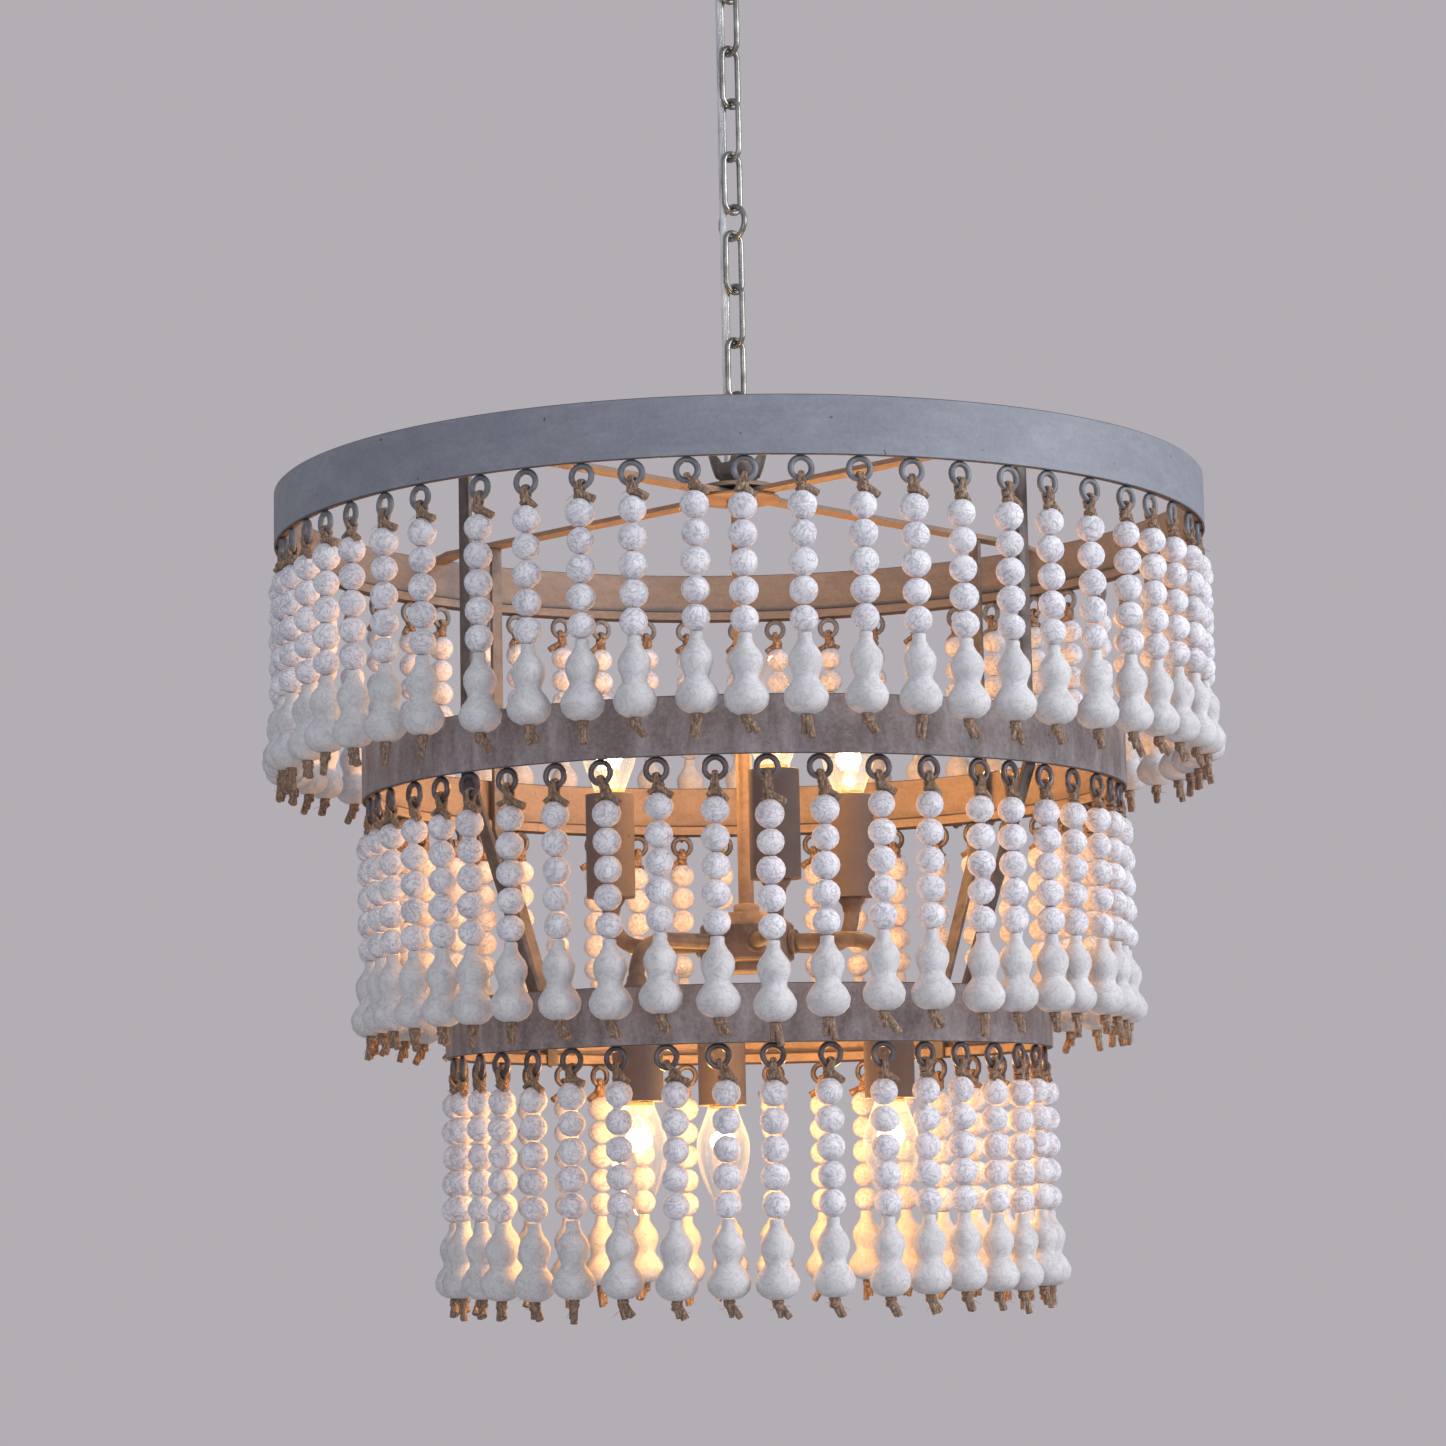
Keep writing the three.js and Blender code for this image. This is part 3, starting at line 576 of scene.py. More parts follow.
def makeCup():
    # an open cup, whose rim is drawn down into six petals, and the post in it
    c = hangingCup
    foot, top, floor = c["foot"], c["top"], c["floor"]
    cup = turnedForm("cup", [
        (0, foot), (9.2, foot), (13.6, foot + 6.6), (18.8, foot + 15), (22.4, foot + 23), (24, top),
        (22.4, top), (20.8, foot + 23), (17.2, foot + 15.2), (12, foot + 7.2), (8.9, floor + 0.6),
        (8.4, floor), (0, floor)], 72)
    for notch in c["notches"]:
        for step in range(c["notchSteps"]):
            reach = c["notchReach"] * math.sqrt(1 - step / c["notchSteps"])

            def inNotch(place):
                azimuth = math.degrees(math.atan2(place.x, -place.y))
                aside = abs((azimuth - notch + 180) % 360 - 180)
                return place.z > (foot + c["notchFoot"]) * mm and aside < reach
            pickPoints(cup, inNotch)
            bpy.ops.transform.resize(value=(c["notchShare"],) * 3, center_override=(0, 0, c["apex"] * mm))
    clearSelection()
    closeUp(cup, 40)
    post = turnedForm("post", [
        (0, foot + 1), (3.6, foot + 1), (3.6, floor + 4), (2.6, floor + 7), (2.6, top - 2),
        (3.2, top), (0, top)], 28)
    return [cup, post]


def makeBars():
    # flat bars halved over each other, their ends bent down a little behind the hoop's rim
    reach, half, top, foot = crossBar["reach"], crossBar["halving"], crossBar["top"], crossBar["foot"]
    bend, dip = reach - crossBar["end"], crossBar["dip"]
    middle, play = (top + foot) / 2, crossBar["play"]
    upper = [(-reach, top - dip), (-bend, top), (bend, top), (reach, top - dip)]
    lower = [(reach, foot - dip), (bend, foot), (-bend, foot), (-reach, foot - dip)]
    cutBelow = [*upper, *lower[:2], (half, foot), (half, middle + play), (-half, middle + play),
                (-half, foot), *lower[2:]]
    cutAbove = [*upper[:2], (-half, top), (-half, middle - play), (half, middle - play),
                (half, top), *upper[2:], *lower]
    for n, outline in enumerate((cutBelow, cutAbove)):
        clearSelection()
        bpy.ops.mesh.primitive_circle_add(vertices=len(outline), radius=mm, fill_type="NGON")
        bar = bpy.context.object
        bar.name = f"crossBar{n + 1}"
        for vertex, (x, z) in zip(bar.data.vertices, outline):
            vertex.co = (x * mm, crossBar["width"] / 2 * mm, z * mm)
        across = (0, -crossBar["width"] * mm, 0)
        bpy.ops.object.mode_set(mode="EDIT")
        bpy.ops.mesh.select_all(action="SELECT")
        bpy.ops.mesh.extrude_region_move(TRANSFORM_OT_translate={"value": across})
        bpy.ops.object.mode_set(mode="OBJECT")
        closeUp(bar)
        bar.rotation_euler = (0, 0, math.radians(crossBar["azimuth"] - 90 + 90 * n))
        finishWith(bar, barPaint)
        standFor(bar, "chandelier", "weathered_paint", f"cross_bar_{n + 1}")


def makeHub():
    c = hangingCup
    loop = wireRing("loop", chain["halfWidth"], c["loopReach"], chain["wire"], c["loopMiddle"], -45)
    both = joined("hangingLoop", [loop, *makeCup()])
    finishWith(both, darkIron)
    standFor(both, "chandelier", "chain_metal", "hanging_loop")

    radius, top, foot = hub["radius"], hub["top"], hub["foot"]
    disc = turnedForm("disc", [
        (0, foot), (radius - 0.7, foot), (radius, foot + 0.6), (radius, top - 1), (radius - 0.9, top - 0.2),
        (radius - 2, top), (0, top)], 72)
    finishWith(disc, barPaint, plateShadow)
    # painted shade: the disc's underside is painted near black, as the narrow gap over the bars lies in
    # shade
    for face in disc.data.polygons:
        face.material_index = 1 if face.normal.z < -0.7 else 0

    # a thin plate below holds the crossed bars against the disc
    radius, top, foot, hole = hub["plateRadius"], hub["plateTop"], hub["plateFoot"], hub["plateHole"]
    plate = turnedForm("plate", [
        (hole, foot), (radius - 0.5, foot), (radius, foot + 0.5), (radius, top - 0.5), (radius - 0.5, top),
        (hole, top), (hole, foot)], 72)
    finishWith(plate, barPaint)
    body = joined("topHub", [disc, plate])
    standFor(body, "chandelier", "weathered_paint", "top_hub")
    makeBars()
    for n in (1, 2, 3, 4):
        repaint(f"hanger_{n}", darkIron, 0.5)


makeHub()
print("hub made")


# hoops
hoop = {"top": -421.4, "spacing": 163.5, "height": 35, "wall": 1.6, "softness": 0.6,
        "stripBack": 2.9, "gap": 0.3}
# a strand's number counts from the front strand to the right; its drift aside and its drop are in mm,
# and the shift of its eyelet in degrees, all read off the photograph
tiers = [
    {"name": "top", "radius": 300, "strands": 56, "azimuth": 0.75, "cuts": (-6, 8, 22, 36, 50),
     "paint": topPaint, "inside": topInside, "ring": topRingPaint,
     "drifts": {-2: 0.5, -1: 4.2, 0: -1.6, 1: 0, 2: 1.9},
     "drops": {-2: -1.0, -1: -2.0, 0: -0.5, 1: -0.6, 2: -1.2},
     "shifts": {-6: -0.9, -5: 0.8, -4: 0.6, -3: 0.7, -2: 0.4, -1: 0.9, 1: -0.2, 2: 0.3, 3: -0.25,
                4: -0.9, 5: -1.1, 6: -1.6, 7: -1.5, 8: -1.2, 9: -0.9, 10: -0.8,
                47: -0.6, 48: -0.9, 49: -1.4}},
    {"name": "middle", "radius": 245, "strands": 48, "azimuth": -3.94, "cuts": (-6, 6, 18, 30, 42),
     "paint": lowPaint, "inside": lowInside, "ring": lowRingPaint,
     "drifts": {-2: 3.2, -1: 1.2, 0: -0.5, 1: 0.6, 2: 2.2},
     "drops": {-2: 2.2, -1: -0.5, 0: 2.4, 1: 5.5, 2: 3.0},
     "shifts": {-5: -1.4, -4: -1.1, -3: -1.0, -2: -0.5, -1: -0.4, 1: -0.2, 3: 0.7, 4: 0.6, 5: 1.6}},
    {"name": "lower", "radius": 193, "strands": 38, "azimuth": 4.22, "cuts": (-4, 4, 14, 24, 34),
     "paint": lowPaint, "inside": lowInside, "ring": lowRingPaint,
     "drifts": {-2: 4.8, -1: 4.2, 0: 0, 1: -1.5},
     "drops": {-3: -1.2, -2: 0, -1: -0.3, 0: 0.3, 1: -0.4},
     "shifts": {-4: -0.7, -3: -0.2, -2: 1.2, -1: 1.0, 1: 0.5, 2: 1.6, 3: 1.1}},
]
for order, tier in enumerate(tiers):
    tier["hoopTop"] = hoop["top"] - order * hoop["spacing"]
    tier["hoopFoot"] = tier["hoopTop"] - hoop["height"]
    # a strand hangs where it does in the solids, whose hoop has one flat for two strands
    flat = math.cos(2 * math.pi / tier["strands"])
    inside = tier["radius"] - hoop["stripBack"] - hoop["gap"] / flat
    tier["hang"] = inside * flat / math.cos(math.pi / tier["strands"])


def makeHoop(tier):
    outer, inner, soft = tier["radius"], tier["radius"] - hoop["wall"], hoop["softness"]
    top, foot = tier["hoopTop"], tier["hoopFoot"]
    corners = [(outer, top - soft), (outer - soft, top), (inner + soft, top), (inner, top - soft),
               (inner, foot + soft), (inner + soft, foot), (outer - soft, foot), (outer, foot + soft)]
    band = spunBand(tier["name"] + "Hoop", corners, 0, 360, 192)
    finishWith(band, tier["paint"], tier["inside"], paintedEdgeShade)
    # faces that are not upright, the top, foot and chamfers, take a painted shade line along both edges;
    # inward faces take the inside paint
    for face in band.data.polygons:
        upright = abs(face.normal.z) < 0.3
        inward = face.center.to_2d().length < (inner + 0.1) * mm
        face.material_index = 2 if not upright else 1 if inward else 0
    standFor(band, "chandelier", "weathered_paint", tier["name"] + "_hoop")


for tier in tiers:
    makeHoop(tier)
print("hoops made")


# bead strands, with heights from the hoop's foot; a strand hangs down Z and faces -Y
strand = {"ringMiddle": -7.15, "ringRadius": 6.15, "ringWire": 1.85, "jute": 1.85,
          "loopHigh": -9.6, "loopLow": -17.0, "loopDepth": 3.3, "asideFrom": -10.8, "asideOver": 4,
          "firstBead": -29, "pitch": 16.2, "beads": 5, "beadRadius": 8.5,
          "gourdTop": -101.9, "gourdLength": 46.5, "variants": 8, "wrapRise": 2.4,
          "inView": range(-6, 8)}
gourdOutline = [(3.4, 0), (4.0, 0.012), (4.1, 0.09), (5.6, 0.155), (8.4, 0.235), (9.8, 0.31),
                (9.6, 0.4), (8.0, 0.49), (7.2, 0.54), (7.6, 0.58), (10.4, 0.655), (12.6, 0.75),
                (12.8, 0.79), (11.9, 0.88), (9, 0.95), (5.8, 0.985), (2, 1.0)]
chance = random.Random(7)


def giveOrTake(most):
    return chance.uniform(-most, most)


def makeBead(height):
    clearSelection()
    radius = strand["beadRadius"] * chance.uniform(0.97, 1.015) * mm
    bpy.ops.mesh.primitive_uv_sphere_add(segments=12, ring_count=8, radius=radius, location=(0, 0, 0))
    bead = bpy.context.object
    bead.scale = (chance.uniform(0.97, 1.03), chance.uniform(0.97, 1.03), chance.uniform(0.94, 0.98))
    keepPlace(bead)
    # the ends are cut flat where the drilled hole opens
    for side in (1, -1):
        pickPoints(bead, lambda place: place.z * side > radius * 0.9)
        bpy.ops.transform.resize(value=(1, 1, 0), center_override=(0, 0, side * radius * 0.925))
    clearSelection()
    bead.rotation_euler = (giveOrTake(0.09), giveOrTake(0.09), chance.uniform(0, 6.28))
    bead.location = (giveOrTake(0.25) * mm, giveOrTake(0.25) * mm, height * mm)
    keepPlace(bead)
    closeUp(bead, 50)
    finishWith(bead, beadWood)
    return bead


def makeGourd():
    plump, top, length = chance.uniform(0.97, 1.02), strand["gourdTop"], strand["gourdLength"]
    profile = [(radius * plump, top - share * length) for radius, share in gourdOutline]
    gourd = turnedForm("gourd", profile, 16, smoothAngle=75)
    finishWith(gourd, gourdWood)
    return gourd


def makeKnot(height, radius):
    # two wraps of cord, each a little aslant
    wraps = []
    for n in (0, 1):
        clearSelection()
        bpy.ops.mesh.primitive_torus_add(
            major_segments=10, minor_segments=6,
            major_radius=radius * mm, minor_radius=strand["jute"] * mm,
            location=(0, 0, (height - n * strand["wrapRise"]) * mm),
            rotation=(giveOrTake(0.45), giveOrTake(0.45), chance.uniform(0, 3)))
        wraps.append(bpy.context.object)
        keepPlace(wraps[-1])
        closeUp(wraps[-1], 60)
    return wraps


def makeTail(start, aim, length, thick, tip, bowed=1.4):
    # a cut end of cord, or a single fibre of it, bowed a little and splayed or thinned at its tip
    aim = Vector(aim).normalized()
    bow = Vector((giveOrTake(1), giveOrTake(0.6), chance.uniform(-0.8, 0.3)))
    points = [Vector(start) + aim * length * t + bow * bowed * t * t for t in (0, 0.25, 0.5, 0.75, 1)]
    return bentTube("tail", points, strand["jute"] * thick, 8 if thick > 0.3 else 4, tip)


def makeHanging():
    # everything that hangs in an eyelet: cord loop, knot, beads, gourd, and the knot below
    jutePieces = []
    high, low, deep = strand["loopHigh"], strand["loopLow"], strand["loopDepth"]
    for side in (-1, 1):
        # two turns of cord pass through the eyelet side by side, and spread towards the knot
        loop = []
        for k in range(13):
            up, along = math.sin(k * math.pi / 6), math.cos(k * math.pi / 6)
            height = (high + low) / 2 + (high - low) / 2 * up
            loop.append((side * (1.1 - 0.55 * up), deep * (0.78 + 0.22 * up) * along, height))
        jutePieces.append(bentTube("twine", loop, strand["jute"] * 0.74, 6))
    jutePieces += makeKnot(-16.8, 2.1)
    jutePieces.append(bentTube("twine", [(0, 0, -16), (0, 0, -23)], strand["jute"], 8))

    # the cut ends of the upper knot; the second one shows on some strands only
    aim = (1, 0.25, -0.62 + giveOrTake(0.2))
    jutePieces.append(makeTail((1.4, -1.6, -18.2), aim, chance.uniform(7, 10), 1.15, 1.1, 0.9))
    if chance.random() < 0.4:
        start, aim = (-1.2, -1.8, -18.4), (-0.9, -0.4, -0.5)
        jutePieces.append(makeTail(start, aim, chance.uniform(3, 5), 0.85, 1.0))

    # the lower knot, its two cut ends, and four loose fibres
    foot = strand["gourdTop"] - strand["gourdLength"]
    jutePieces.append(bentTube("twine", [(0, 0, foot + 3), (0, 0, foot - 3)], strand["jute"], 8))
    jutePieces += makeKnot(foot - 1.0, 1.9)
    slant = chance.uniform(-0.15, 0.75)
    for aside, spread, longest, thick in ((0.9, 0.1, 12, 1.25), (-1.1, -0.15, 9.5, 1.0)):
        aim = (slant + spread + giveOrTake(0.15), chance.uniform(-0.3, 0.2), -1)
        length, tip = longest * chance.uniform(0.7, 1), chance.uniform(0.8, 1.15)
        jutePieces.append(makeTail((aside, -0.4, foot - 2.6), aim, length, thick, tip))
    fibres = (((1.5, -2, -20), 6), ((-1, -1.5, -17), 5), ((0.5, -0.5, foot - 4), 9),
              ((-0.5, -0.8, foot - 3), 8))
    for start, length in fibres:
        aim = (giveOrTake(1), chance.uniform(-0.6, 0), chance.uniform(-0.9, 0.1))
        jutePieces.append(makeTail(start, aim, length * chance.uniform(0.7, 1.3), 0.09, 0.5, 2.5))
    for piece in jutePieces:
        finishWith(piece, jute)
    beads = [makeBead(strand["firstBead"] - n * strand["pitch"]) for n in range(strand["beads"])]
    return joined("hanging", [*beads, makeGourd(), *jutePieces])


def makeEyelet():
    s = strand
    return wireRing("eyelet", s["ringRadius"], s["ringRadius"], s["ringWire"], s["ringMiddle"], 0, 18, 8)


# the strip inside the hoop's foot that carries the eyelets, in four quarters
eyeletStrip = {"back": 2.0, "front": 2.2, "height": 8, "seam": 6.9, "joint": 0.04}


def makeStrip(tier, start, end):
    s = eyeletStrip
    step = 360 / tier["strands"]
    outer, inner = tier["radius"] - s["back"], tier["hang"] - s["front"]
    foot, top = tier["hoopFoot"], tier["hoopFoot"] + s["height"]
    corners = [(outer, top), (inner + 1.2, top), (inner + 0.8, top - 0.8), (inner, top - 1.2),
               (inner, foot + 1.3), (inner + 0.4, foot + 0.9), (outer, foot + 0.1)]
    first = tier["azimuth"] + (start - 0.5) * step + s["joint"]
    strip = spunBand("strip", corners, first, (end - start) * step - 2 * s["joint"], 4 * (end - start))
    finishWith(strip, tier["inside"], seamShadow)
    # painted shade: the strip's faces above the seam and its underside take the dark seamShadow paint
    for face in strip.data.polygons:
        shaded = face.center.z > (foot + s["seam"]) * mm or face.normal.z < -0.5
        face.material_index = 1 if shaded else 0
    return strip


eyeletPattern = makeEyelet()
hangingPatterns = [makeHanging() for n in range(strand["variants"])]
print("strand patterns made")


def strandPlace(tier, number, drift=0):
    # the eyelets are a little uneven, as in the photograph, and those out of view by chance as well
    shift = tier["shifts"].get(number, 0) + (0 if number in strand["inView"] else giveOrTake(0.6))
    if number:
        shift -= math.degrees(drift / tier["hang"])
    azimuth = tier["azimuth"] + number * 360 / tier["strands"] + shift
    place = Matrix.Translation(around(tier["hang"] * mm, azimuth, tier["hoopFoot"] * mm))
    return place @ Matrix.Rotation(math.radians(azimuth), 4, "Z")


def swung(across, outward, twist):
    # a small lean about the eyelet's lower wire, in degrees
    pivot = Vector((0, 0, (strand["ringMiddle"] - strand["ringRadius"]) * mm))
    turn = Matrix.Identity(4)
    for angle, axis in ((across, "Y"), (outward, "X"), (twist, "Z")):
        turn = turn @ Matrix.Rotation(math.radians(angle), 4, axis)
    return Matrix.Translation(pivot) @ turn @ Matrix.Translation(-pivot)


def drawnAside(piece, drift, drop):
    # below its loop, a strand hangs a little to one side of its eyelet, and higher or lower than others
    for vertex in piece.data.vertices:
        share = min(1, max(0, (strand["asideFrom"] - vertex.co.z / mm) / strand["asideOver"]))
        vertex.co.x += drift * mm * share
        vertex.co.z -= drop * mm * share
    return piece


def makeCurtains(tier):
    name = tier["name"]
    for n in range(4):
        start, end = tier["cuts"][n], tier["cuts"][n + 1]
        pieces = [makeStrip(tier, start, end)]
        for number in range(start, end):
            drift = tier["drifts"].get(number, giveOrTake(1.6))
            drop = tier["drops"].get(number, giveOrTake(1.2))
            place = strandPlace(tier, number, drift)
            eyelet = copied(eyeletPattern, place @ swung(0, 0, giveOrTake(9) if number else 0))
            finishWith(eyelet, tier["ring"])
            pieces.append(eyelet)
            if number:
                lean = swung(giveOrTake(0.6), giveOrTake(0.6), giveOrTake(16))
                hanging = drawnAside(copied(chance.choice(hangingPatterns), Matrix()), drift, drop)
                hanging.data.transform(place @ lean)
                pieces.append(hanging)
        curtain = joined(f"{name}Curtain{n + 1}", pieces)
        standFor(curtain, "chandelier", "whitewashed_wood", f"{name}_curtain_{n + 1}")
    front = copied(hangingPatterns[0], Matrix(), name + "FrontStrand")
    drawnAside(front, tier["drifts"][0], tier["drops"][0])
    front.data.transform(strandPlace(tier, 0))
    standFor(front, name + "_front_strand", "whitewashed_wood", name + "_front_strand")


for tier in tiers:
    makeCurtains(tier)
activate(eyeletPattern, *hangingPatterns)
bpy.ops.object.delete()
print("bead curtains hung")


# candle lamps on their branch; an arm and its candle are made pointing along X, turned up
branch = {"height": -712.4, "firstArm": 11.5, "radius": 92.6, "hubRadius": 30, "hubNeck": 20, "hubHalf": 19,
          "armRadius": 5, "armBend": 26}
sleeve = {"foot": 33, "length": 68, "radius": 15.8, "bore": 14.3}
bulb = {"foot": 71.3, "seat": 101.3, "length": 71, "glowFade": 1.3, "lightUp": 24, "lightSize": 6.2,
        "lightPower": 1.3, "lightColour": (1.0, 0.46, 0.11)}
bulbOutline = [(9.5, 0.004), (10.4, 0.05), (13.4, 0.16), (16.6, 0.28), (17.5, 0.38), (16.9, 0.5),
               (15, 0.62), (11.4, 0.75), (7, 0.87), (3.2, 0.955), (1.2, 0.99), (0, 1.0)]
leadLine = [(1.0, 10), (2.4, 12), (4.6, 15), (5.0, 17)]
filamentLine = [(-5, 0, 17), (-3.4, 1.5, 30), (-1.7, 0, 18), (0, -1.5, 31), (1.7, 0, 18),
                (3.4, 1.5, 30), (5, 0, 17)]


def branchPlace(number):
    # every other arm is turned over
    turn = math.radians(branch["firstArm"] - 90 + 60 * number)
    place = Matrix.Translation((0, 0, branch["height"] * mm)) @ Matrix.Rotation(turn, 4, "Z")
    return place @ Matrix.Rotation(math.pi, 4, "X") if number % 2 else place


def makeStem():
    foot, top = branch["height"] - branch["hubHalf"], branch["height"] + branch["hubHalf"]
    stemTop = hoop["top"] - 0.8
    stem = turnedForm("stem", [
        (0, top + 0.3), (8.4, top + 0.3), (8.4, top + 4.5), (7.4, top + 6), (5, top + 6.4),
        (5, stemTop - 7), (7.6, stemTop - 6.4), (7.6, stemTop - 0.6), (7, stemTop), (0, stemTop)], 32)
    finishWith(stem, barPaint)
    standFor(stem, "chandelier", "dark_iron", "stem")
    wide, neck = branch["hubRadius"], branch["hubNeck"]
    body = turnedForm("lowerHub", [
        (0, foot), (neck - 1.2, foot), (neck, foot + 1), (neck, foot + 6), (wide - 1.4, foot + 7),
        (wide, foot + 8.4), (wide, top - 8.6), (wide - 1.2, top - 7), (neck + 2, top - 2.4),
        (neck, top - 0.8), (neck - 1.4, top), (0, top)], 56)
    finishWith(body, branchIron)
    standFor(body, "chandelier", "dark_iron", "lower_hub")


def makeArm():
    # straight out of the hub, and then up in a bend to the cup
    reach, bend = branch["radius"], branch["armBend"]
    line = [(28.6, 0, 0), (45, 0, 0)]
    for k in range(13):
        t = k / 12
        out = (1 - t) ** 2 * (reach - bend) + 2 * t * (1 - t) * reach + t * t * reach
        line.append((out, 0, t * t * bend))
    tube = bentTube("tube", line, branch["armRadius"], 16)
    collar = turnedForm("collar", [(0, 0), (7.2, 0), (7.8, 0.6), (7.8, 3.4), (7.2, 4), (0, 4)], 28)
    collar.data.transform(Matrix.Translation((29.4 * mm, 0, 0)) @ Matrix.Rotation(math.pi / 2, 4, "Y"))
    cup = turnedForm("cup", [
        (0, 23.2), (5.6, 23.2), (6, 24.4), (6.4, 27.2), (8.6, 30.4), (9, 31.2), (9, 32.7),
        (0, 32.7)], 36, (reach, 0))
    arm = joined("arm", [tube, collar, cup])
    finishWith(arm, branchIron)
    return arm


def makeSleeve():
    foot, top, axis = sleeve["foot"], sleeve["foot"] + sleeve["length"], (branch["radius"], 0)
    radius, bore = sleeve["radius"], sleeve["bore"]
    tube = turnedForm("tube", [
        (0, foot), (radius - 0.4, foot), (radius, foot + 0.4), (radius, top - 0.4), (radius - 0.4, top),
        (bore + 0.3, top), (bore, top - 0.5), (bore, top - 4), (0, top - 4)], 48, axis)
    finishWith(tube, sleevePaint)
    socket = turnedForm("socket", [
        (9.9, top - 4.5), (12.8, top - 4.5), (13, top - 1.2), (12.4, top - 0.4), (9.9, top - 0.4),
        (9.9, top - 4.5)], 40, axis)
    finishWith(socket, darkIron)
    return joined("sleeve", [tube, socket])


def makeBulb():
    foot, seat, length, axis = bulb["foot"], bulb["seat"], bulb["length"], (branch["radius"], 0)
    line = eased([(radius, seat + share * length) for radius, share in bulbOutline], 2)
    shell = turnedForm("shell", line, 36, axis, 80)
    finishWith(shell, glass)
    # the painted glow's share: full at the foot of the glass, fading to none at the tip
    glow = shell.data.color_attributes.new(name="glow", type="FLOAT_COLOR", domain="POINT")
    for vertex, value in zip(shell.data.vertices, glow.data):
        share = (vertex.co.z / mm - seat) / length
        value.color = (*[min(1, max(0, 1 - share)) ** bulb["glowFade"]] * 3, 1)

    screw = [(8.6 - 0.7 * (k % 2), foot + 4 + 1.6 * k) for k in range(16)]
    base = turnedForm("base", [
        (0, foot), (3, foot), (5, foot + 2), (7.8, foot + 3), *screw, (8.6, seat - 0.8),
        (9.3, seat + 0.2), (9.3, seat + 2.2), (0, seat + 2.2)], 32, axis)
    finishWith(base, brass)
    stalk = turnedForm("stalk", [
        (0, seat + 2), (5, seat + 2), (3.4, seat + 6), (1.6, seat + 10), (1.4, seat + 13),
        (0, seat + 14)], 20, axis)
    finishWith(stalk, glass)
    leads = []
    for side in (-1, 1):
        lead = [(branch["radius"] + side * x, 0, seat + z) for x, z in leadLine]
        leads.append(bentTube("lead", lead, 0.3, 6))
        finishWith(leads[-1], darkIron)
    zigzag = [(branch["radius"] + x, y, seat + z) for x, y, z in filamentLine]
    thread = bentTube("thread", zigzag, 0.55, 6)
    finishWith(thread, filament)
    return shell, joined("lampInside", [base, stalk, *leads, thread])


def makeCandles():
    armPattern, sleevePattern = makeArm(), makeSleeve()
    shellPattern, insidePattern = makeBulb()
    for number in range(6):
        place, label = branchPlace(number), number + 1
        arm = copied(armPattern, place, f"lampArm{label}")
        standFor(arm, "chandelier", "dark_iron", f"arm_{label}")
        tube = copied(sleevePattern, place, f"candleSleeve{label}")
        standFor(tube, "chandelier", "taupe_sleeve", f"candle_sleeve_{label}")
        shell = copied(shellPattern, place, f"bulbShell{label}")
        standFor(shell, f"bulb_{label}", "lamp_glass", f"bulb_{label}")
        inside = copied(insidePattern, place, f"bulbInside{label}")
        standFor(inside, f"bulb_{label}", "lamp_glass")
        clearSelection()
        spot = place @ Vector((branch["radius"] * mm, 0, (bulb["seat"] + bulb["lightUp"]) * mm))
        bpy.ops.object.light_add(type="POINT", location=spot)
        light = bpy.context.object
        light.name = f"warmGlow{label}"
        light.data.energy = bulb["lightPower"]
        light.data.color = bulb["lightColour"]
        light.data.shadow_soft_size = bulb["lightSize"] * mm
        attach(light, f"bulb_{label}")
    activate(armPattern, sleevePattern, shellPattern, insidePattern)
    bpy.ops.object.delete()


makeStem()
makeCandles()
print("candle lamps made")


# floor, daylight and the plain wall colour, in metres
studio = {"floor": -2.35, "floorSize": 7, "wall": tint(179, 174, 179), "daylight": 0.44,
          "daylightColour": (0.93, 0.95, 1.0, 1), "aim": (0, 0, -0.65)}
softboxes = [{"name": "windowLight", "place": (2.7, -1.1, 0.3), "size": 1.8, "power": 82,
              "colour": (1.0, 0.99, 0.98)},
             {"name": "roomFill", "place": (-0.6, -2.9, -0.35), "size": 2.4, "power": 25,
              "colour": (0.97, 0.98, 1.0)}]


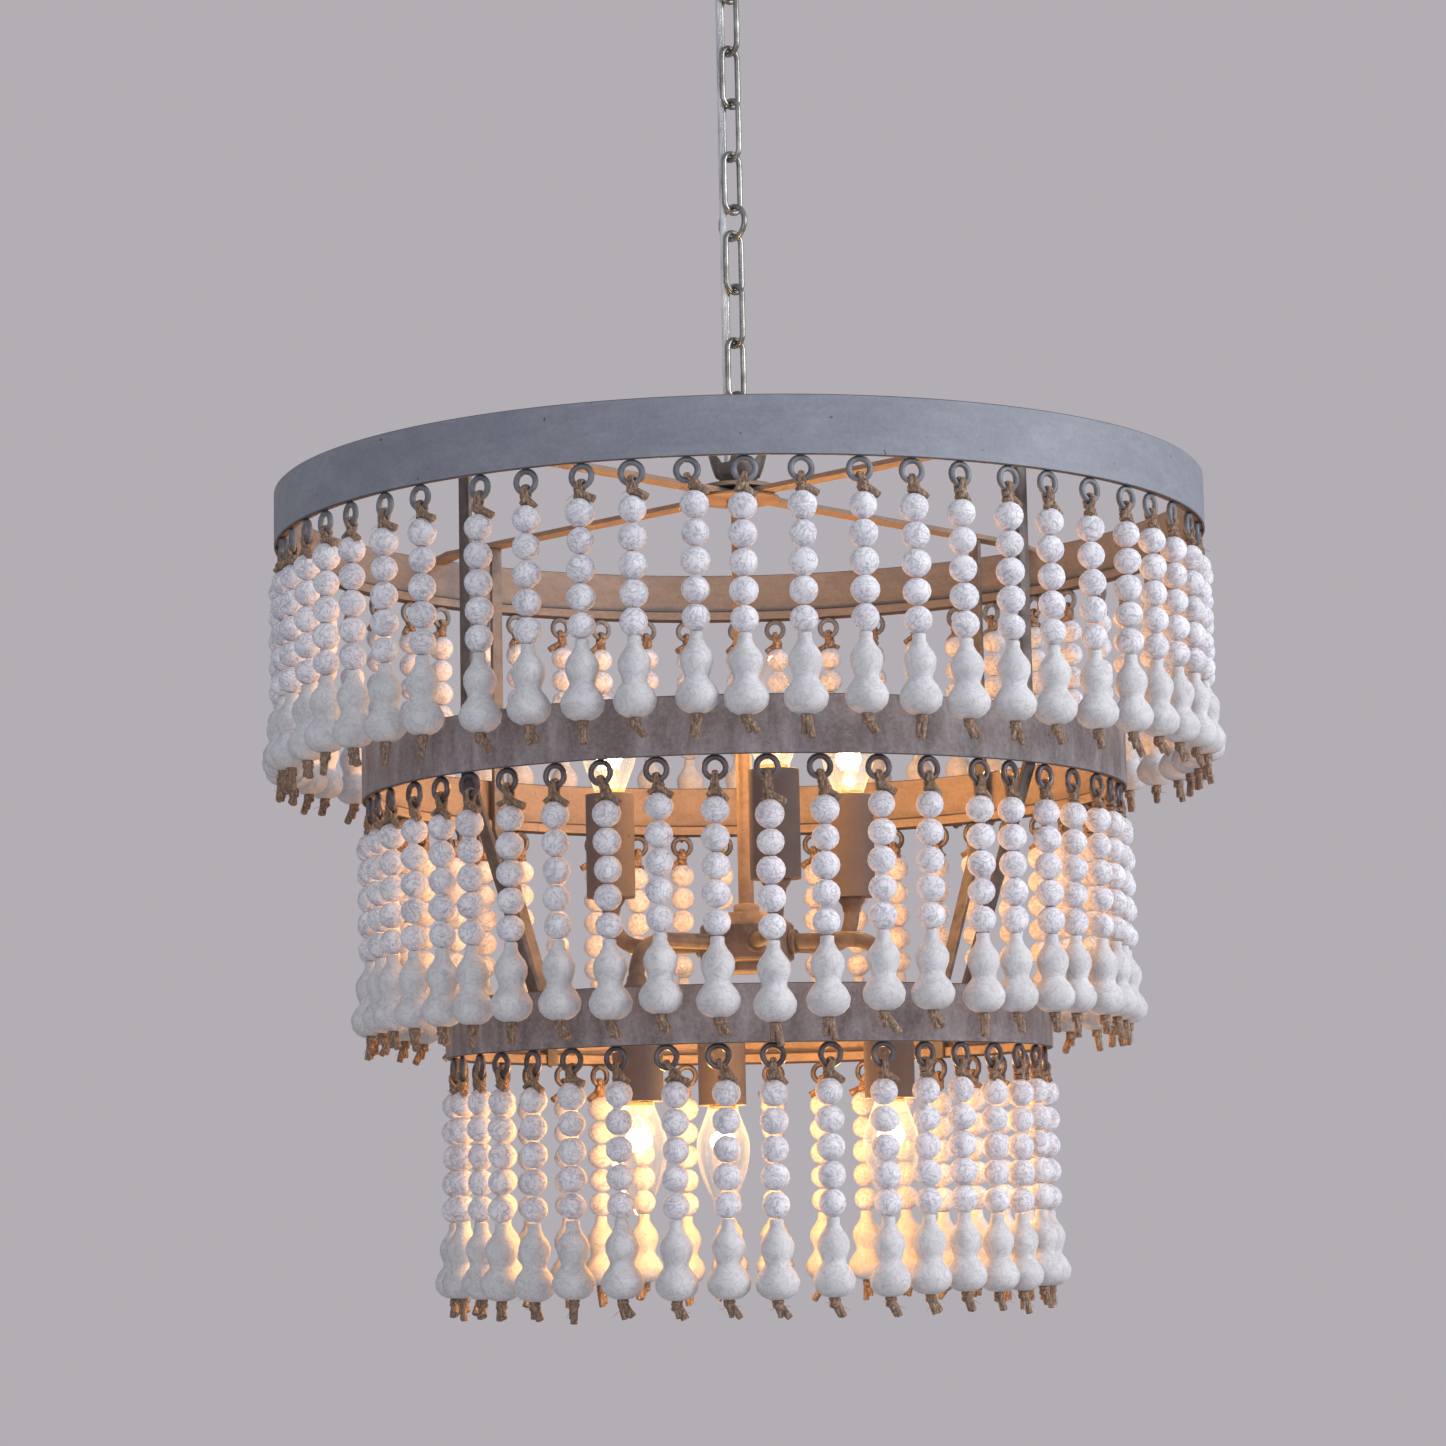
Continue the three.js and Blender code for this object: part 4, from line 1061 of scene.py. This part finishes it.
def placeSoftbox(name, place, size, power, colour):
    clearSelection()
    bpy.ops.object.light_add(type="AREA", location=place)
    lamp = bpy.context.object
    lamp.name = name
    lamp.data.shape = "SQUARE"
    lamp.data.size = size
    lamp.data.energy = power
    lamp.data.color = colour
    lamp.rotation_euler = (Vector(studio["aim"]) - Vector(place)).to_track_quat("-Z", "Y").to_euler()


def makeFloor():
    clearSelection()
    bpy.ops.mesh.primitive_grid_add(
        x_subdivisions=4, y_subdivisions=4, size=studio["floorSize"], location=(0, 0, studio["floor"]))
    floor = bpy.context.object
    floor.name = "paleFloor"
    pale, tree, shader = newFinish("paleFloorPaint", Roughness=0.9)
    tone = ramp(tree, mottle(tree, 500, detail=2), (0.3, tint(196, 190, 188)), (0.7, tint(206, 200, 198)))
    tree.links.new(tone, shader.inputs["Base Color"])
    finishWith(floor, pale)


def makeWorld():
    # the wall colour is what is seen, in gloss and through glass too; daylight lights the object
    world = bpy.data.worlds.new("plainRoom")
    bpy.context.scene.world = world
    world.use_nodes = True
    tree = world.node_tree
    tree.nodes.clear()
    rays = addNode(tree, "ShaderNodeLightPath")
    seen = rays.outputs["Is Camera Ray"]
    for kind in ("Is Glossy Ray", "Is Transmission Ray"):
        highest = addNode(tree, "ShaderNodeMath", operation="MAXIMUM")
        tree.links.new(seen, highest.inputs[0])
        tree.links.new(rays.outputs[kind], highest.inputs[1])
        seen = highest.outputs[0]
    daylight = addNode(tree, "ShaderNodeBackground", Strength=studio["daylight"],
                       Color=studio["daylightColour"])
    wall = addNode(tree, "ShaderNodeBackground", Strength=1.0, Color=studio["wall"])
    mix = addNode(tree, "ShaderNodeMixShader")
    end = addNode(tree, "ShaderNodeOutputWorld")
    tree.links.new(seen, mix.inputs["Fac"])
    tree.links.new(daylight.outputs[0], mix.inputs[1])
    tree.links.new(wall.outputs[0], mix.inputs[2])
    tree.links.new(mix.outputs[0], end.inputs["Surface"])


makeFloor()
for settings in softboxes:
    placeSoftbox(**settings)
makeWorld()
bpy.context.scene.view_settings.view_transform = "Standard"
print("studio lit")
